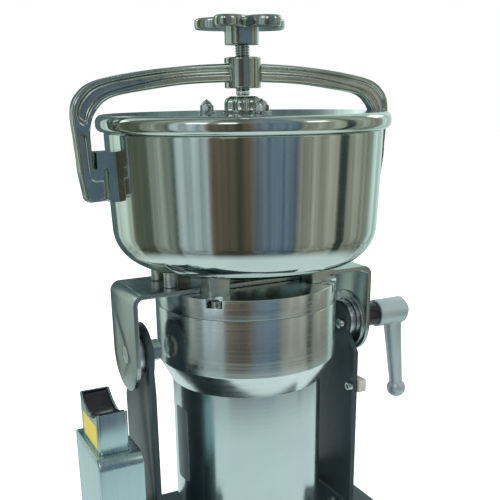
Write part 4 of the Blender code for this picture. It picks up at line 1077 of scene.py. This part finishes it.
# Share of a turn from the front, by way of the left, and the room's colour there
ROOM_BANDS = (
    (0.00, (0.16, 0.22, 0.28)),
    (0.050, (0.19, 0.24, 0.29)),
    (0.058, (0.17, 0.13, 0.10)),
    (0.085, (0.07, 0.07, 0.05)),
    (0.143, (0.17, 0.13, 0.10)),
    (0.150, (0.44, 0.52, 0.54)),
    (0.216, (0.46, 0.54, 0.55)),
    (0.222, (0.09, 0.12, 0.10)),
    (0.240, (0.34, 0.38, 0.34)),
    (0.284, (0.30, 0.34, 0.29)),
    (0.290, (0.10, 0.12, 0.09)),
    (0.350, (0.13, 0.15, 0.11)),
    (0.358, (0.68, 0.81, 0.71)),
    (0.428, (0.64, 0.77, 0.69)),
    (0.440, (0.10, 0.16, 0.17)),
    (0.600, (0.14, 0.20, 0.20)),
    (0.612, (0.72, 0.92, 0.87)),
    (0.728, (0.64, 0.83, 0.79)),
    (0.742, (0.30, 0.33, 0.28)),
    (0.832, (0.34, 0.36, 0.30)),
    (0.840, (0.05, 0.07, 0.06)),
    (0.858, (0.06, 0.08, 0.07)),
    (0.868, (0.44, 0.44, 0.37)),
    (0.958, (0.42, 0.42, 0.36)),
    (0.967, (0.14, 0.20, 0.26)),
)
# Share of the way, with the bands' strength and the pale wash over them
ROOM_LEVELS = ((0.0, 0.5), (0.13, 0.5), (0.24, 0.60), (0.38, 0.75), (0.44, 0.90), (0.55, 1.0), (0.80, 0.9),
               (1.0, 0.55))
ROOM_PALE = ((0.0, 1.0), (0.15, 0.95), (0.24, 0.10), (0.27, 0.0), (0.62, 0.0), (0.72, 0.08), (0.80, 0.12),
             (1.0, 0.12))
# Lit panels high on the wall: share of the way up, and each one's middle and half width as shares of a turn
WINDOW_REACH = ((0.0, 0.0), (0.66, 0.0), (0.67, 1.0), (0.77, 1.0), (0.78, 0.0))
WINDOW_PLACES = ((0.105, 0.016), (0.168, 0.020), (0.38, 0.03), (0.53, 0.02), (0.72, 0.03), (0.924, 0.022))


def make_stage():
    """A wide pale floor, which the camera sees a little brighter than its light alone makes it."""
    size = 6.0
    bm = bmesh.new()
    bm.faces.new([bm.verts.new((x * size, y * size, 0.0)) for x, y in ((-1, -1), (1, -1), (1, 1), (-1, 1))])
    floor = put("floor", mesh_from("floor", bm))
    tree = material_tree("pale_floor")
    glow = tree.math("MULTIPLY", tree.seen_directly(), 0.60)
    tree.link(glow, tree.nodes["Principled BSDF"].inputs["Emission Strength"])
    floor.data.materials.append(tree.finish(Base_Color=(0.82, 0.82, 0.82, 1.0), Roughness=0.9,
                                            Emission_Color=(1.0, 1.0, 1.0, 1.0)))


def make_room():
    """A plain round room that only the metal's reflections see: floor, wall and ceiling."""
    sides = 96
    bm = bmesh.new()
    along = bm.verts.layers.float.new("along")
    rings = loft(bm, [[(*polar(row[0], tau * side / sides), row[1]) for side in range(sides)]
                      for row in ROOM_PROFILE], False)
    for ring, row in zip(rings, ROOM_PROFILE):
        for vert in ring:
            vert[along] = row[2]
    room = put("room", mesh_from("room", bm))
    room.data.materials.append(room_surfaces())
    for kind in ("camera", "diffuse", "transmission", "volume_scatter", "shadow"):
        setattr(room, "visible_" + kind, False)


def room_surfaces():
    """Upright bands of colour, fading to a pale wash over the floor, with a row of lit panels."""
    tree = material_tree("room_surfaces")
    tree.nodes.remove(tree.nodes["Principled BSDF"])
    split = tree.node("ShaderNodeSeparateXYZ")
    tree.link(tree.node("ShaderNodeTexCoord").outputs["Object"], split.inputs[0])
    turn = tree.math("ARCTAN2", split.outputs["X"], split.outputs["Y"])
    share = tree.spread(turn, 0.0, 1.0, -pi, pi)
    reach = tree.node("ShaderNodeAttribute", attribute_name="along").outputs["Fac"]
    streaks = tree.spread(tree.noise(1.0, (9.0, 9.0, 0.4), 5.0, 0.65), 0.55, 1.30, 0.35, 0.65)
    glow = tree.node("ShaderNodeEmission")
    tree.link(tree.ramp(share, ROOM_BANDS), glow.inputs["Color"])
    tree.link(tree.math("MULTIPLY", streaks, tree.ramp(reach, ROOM_LEVELS)), glow.inputs["Strength"])
    pale = tree.node("ShaderNodeEmission", Color=(0.68, 0.80, 0.79, 1.0))
    washed = tree.mix(tree.ramp(reach, ROOM_PALE), glow.outputs[0], pale.outputs[0])
    lit = tree.node("ShaderNodeEmission", Color=(1.0, 1.0, 1.0, 1.0), Strength=1.6)
    window = tree.math("MULTIPLY", tree.ramp(share, windows(WINDOW_PLACES)), tree.ramp(reach, WINDOW_REACH))
    tree.link(tree.mix(window, washed, lit.outputs[0]), tree.nodes["Material Output"].inputs["Surface"])
    return tree.owner


def windows(places, soft=0.002):
    """The stops of a ramp that is 1 within half a width of each middle, and 0 elsewhere."""
    stops = [(0.0, 0.0)]
    for middle, half in places:
        start, end = middle - half, middle + half
        stops += [(start - soft, 0.0), (start, 1.0), (end, 1.0), (end + soft, 0.0)]
    return stops


def add_lamp(name, place, size, power):
    """A soft box turned to the machine's middle."""
    light = bpy.data.lights.new(name, "AREA")
    light.shape = "RECTANGLE"
    light.size, light.size_y = size
    light.energy = power
    lamp = put(name, light)
    lamp.location = place
    lamp.rotation_euler = (Vector((0, 0, 0.3)) - Vector(place)).to_track_quat("-Z", "Y").to_euler()


def make_lights():
    """Three soft boxes, and a white world that lights less than it shows."""
    add_lamp("left_softbox", (-1.6, -1.3, 1.5), (1.2, 1.6), 22.0)
    add_lamp("right_softbox", (1.9, -0.9, 1.1), (0.9, 1.4), 14.0)
    add_lamp("top_softbox", (0.0, 0.4, 2.2), (1.8, 1.4), 20.0)
    world = bpy.data.worlds.new("studio")
    bpy.context.scene.world = world
    tree = Tree(world)
    glossy = tree.node("ShaderNodeLightPath").outputs["Is Glossy Ray"]
    level = tree.spread(tree.math("MAXIMUM", tree.seen_directly(), glossy), 0.55, 1.0, 0.0, 1.0)
    back = tree.nodes["Background"].inputs
    back["Color"].default_value = (1.0, 1.0, 1.0, 1.0)
    tree.link(level, back["Strength"])


def make_camera():
    """Placed by a fit to the machine's own rims, seams and corners, with a little upward shift."""
    distance, height = 0.6763, 0.4428
    yaw, pitch, roll = radians(26.73), radians(17.64), radians(-0.74)
    forward_flat = Vector((sin(yaw), cos(yaw), 0.0))
    right = Vector((cos(yaw), -sin(yaw), 0.0))
    up = Vector((0.0, 0.0, 1.0))
    forward = forward_flat * cos(pitch) - up * sin(pitch)
    upward = forward_flat * sin(pitch) + up * cos(pitch)
    side = right * cos(roll) + upward * sin(roll)
    upward = upward * cos(roll) - right * sin(roll)
    pixels, focal, centre_x, centre_y = 500.0, 746.47, 246.03, 331.91
    lens = bpy.data.cameras.new("camera")
    lens.sensor_width = 36.0
    lens.lens = focal / pixels * lens.sensor_width
    lens.shift_x = (pixels / 2 - centre_x) / pixels
    lens.shift_y = (centre_y - pixels / 2) / pixels
    lens.clip_start = 0.01
    matrix = Matrix((side, upward, -forward)).transposed().to_4x4()
    matrix.translation = Vector((AXIS_X, 0.0, height)) - forward_flat * distance
    camera = put("camera", lens)
    camera.matrix_world = matrix
    bpy.context.scene.camera = camera


# Nodes that keep their own shape: their material, and the width and segments of the broken edge
KEPT_SHAPES = (
    (CHROME, 0.0006, 2, ("left_lug", "right_lug")),
    (BRIGHT, 0.0, 0, ("clamp_stud", "left_pivot_shaft", "tilt_stop_screw", "motor_shaft", "upper_bearing",
                      "lower_bearing", "blade_nut")),
    (GROUND, 0.0, 0, ("lower_blade", "middle_blade", "upper_blade", "lower_blade_collar",
                      "middle_blade_collar", "upper_blade_collar", "screw_pad", "lid_stiffener")),
    (RUBBER, 0.0, 0, ("shaft_seal",)),
    (BLACK_PLASTIC, 0.0, 0, ("switch_body",)),
    (BLACK_PLASTIC, 0.0006, 3, ("cable_gland",)),
    (NYLON, 0.0004, 2, ("tilt_stop",)),
    (ALUMINIUM, 0.0, 0, ("lower_bearing_carrier",)),
    (IRON, 0.0, 0, ("rotor",)),
    (COPPER, 0.0, 0, ("stator",)),
    (SILICONE, 0.0, 0, ("lid_seal",)),
)

make_camera()
make_bowl()
make_lid()
make_arm()
make_knob()
make_screw()
make_casing()
make_shields()
make_posts()
make_bracket()
make_pivots()
make_lever()
make_upright("left_upright", -1, 0.027, 0.027)
make_upright("right_upright", 1, 0.0195, 0.033)
make_base()
make_control_box()
make_switch()
make_rocker()
for material, width, segments, kept in KEPT_SHAPES:
    for node in kept:
        recolour(node, material, width, segments)
make_stage()
make_room()
make_lights()
bpy.context.scene.view_settings.view_transform = "Standard"
bpy.context.view_layer.update()
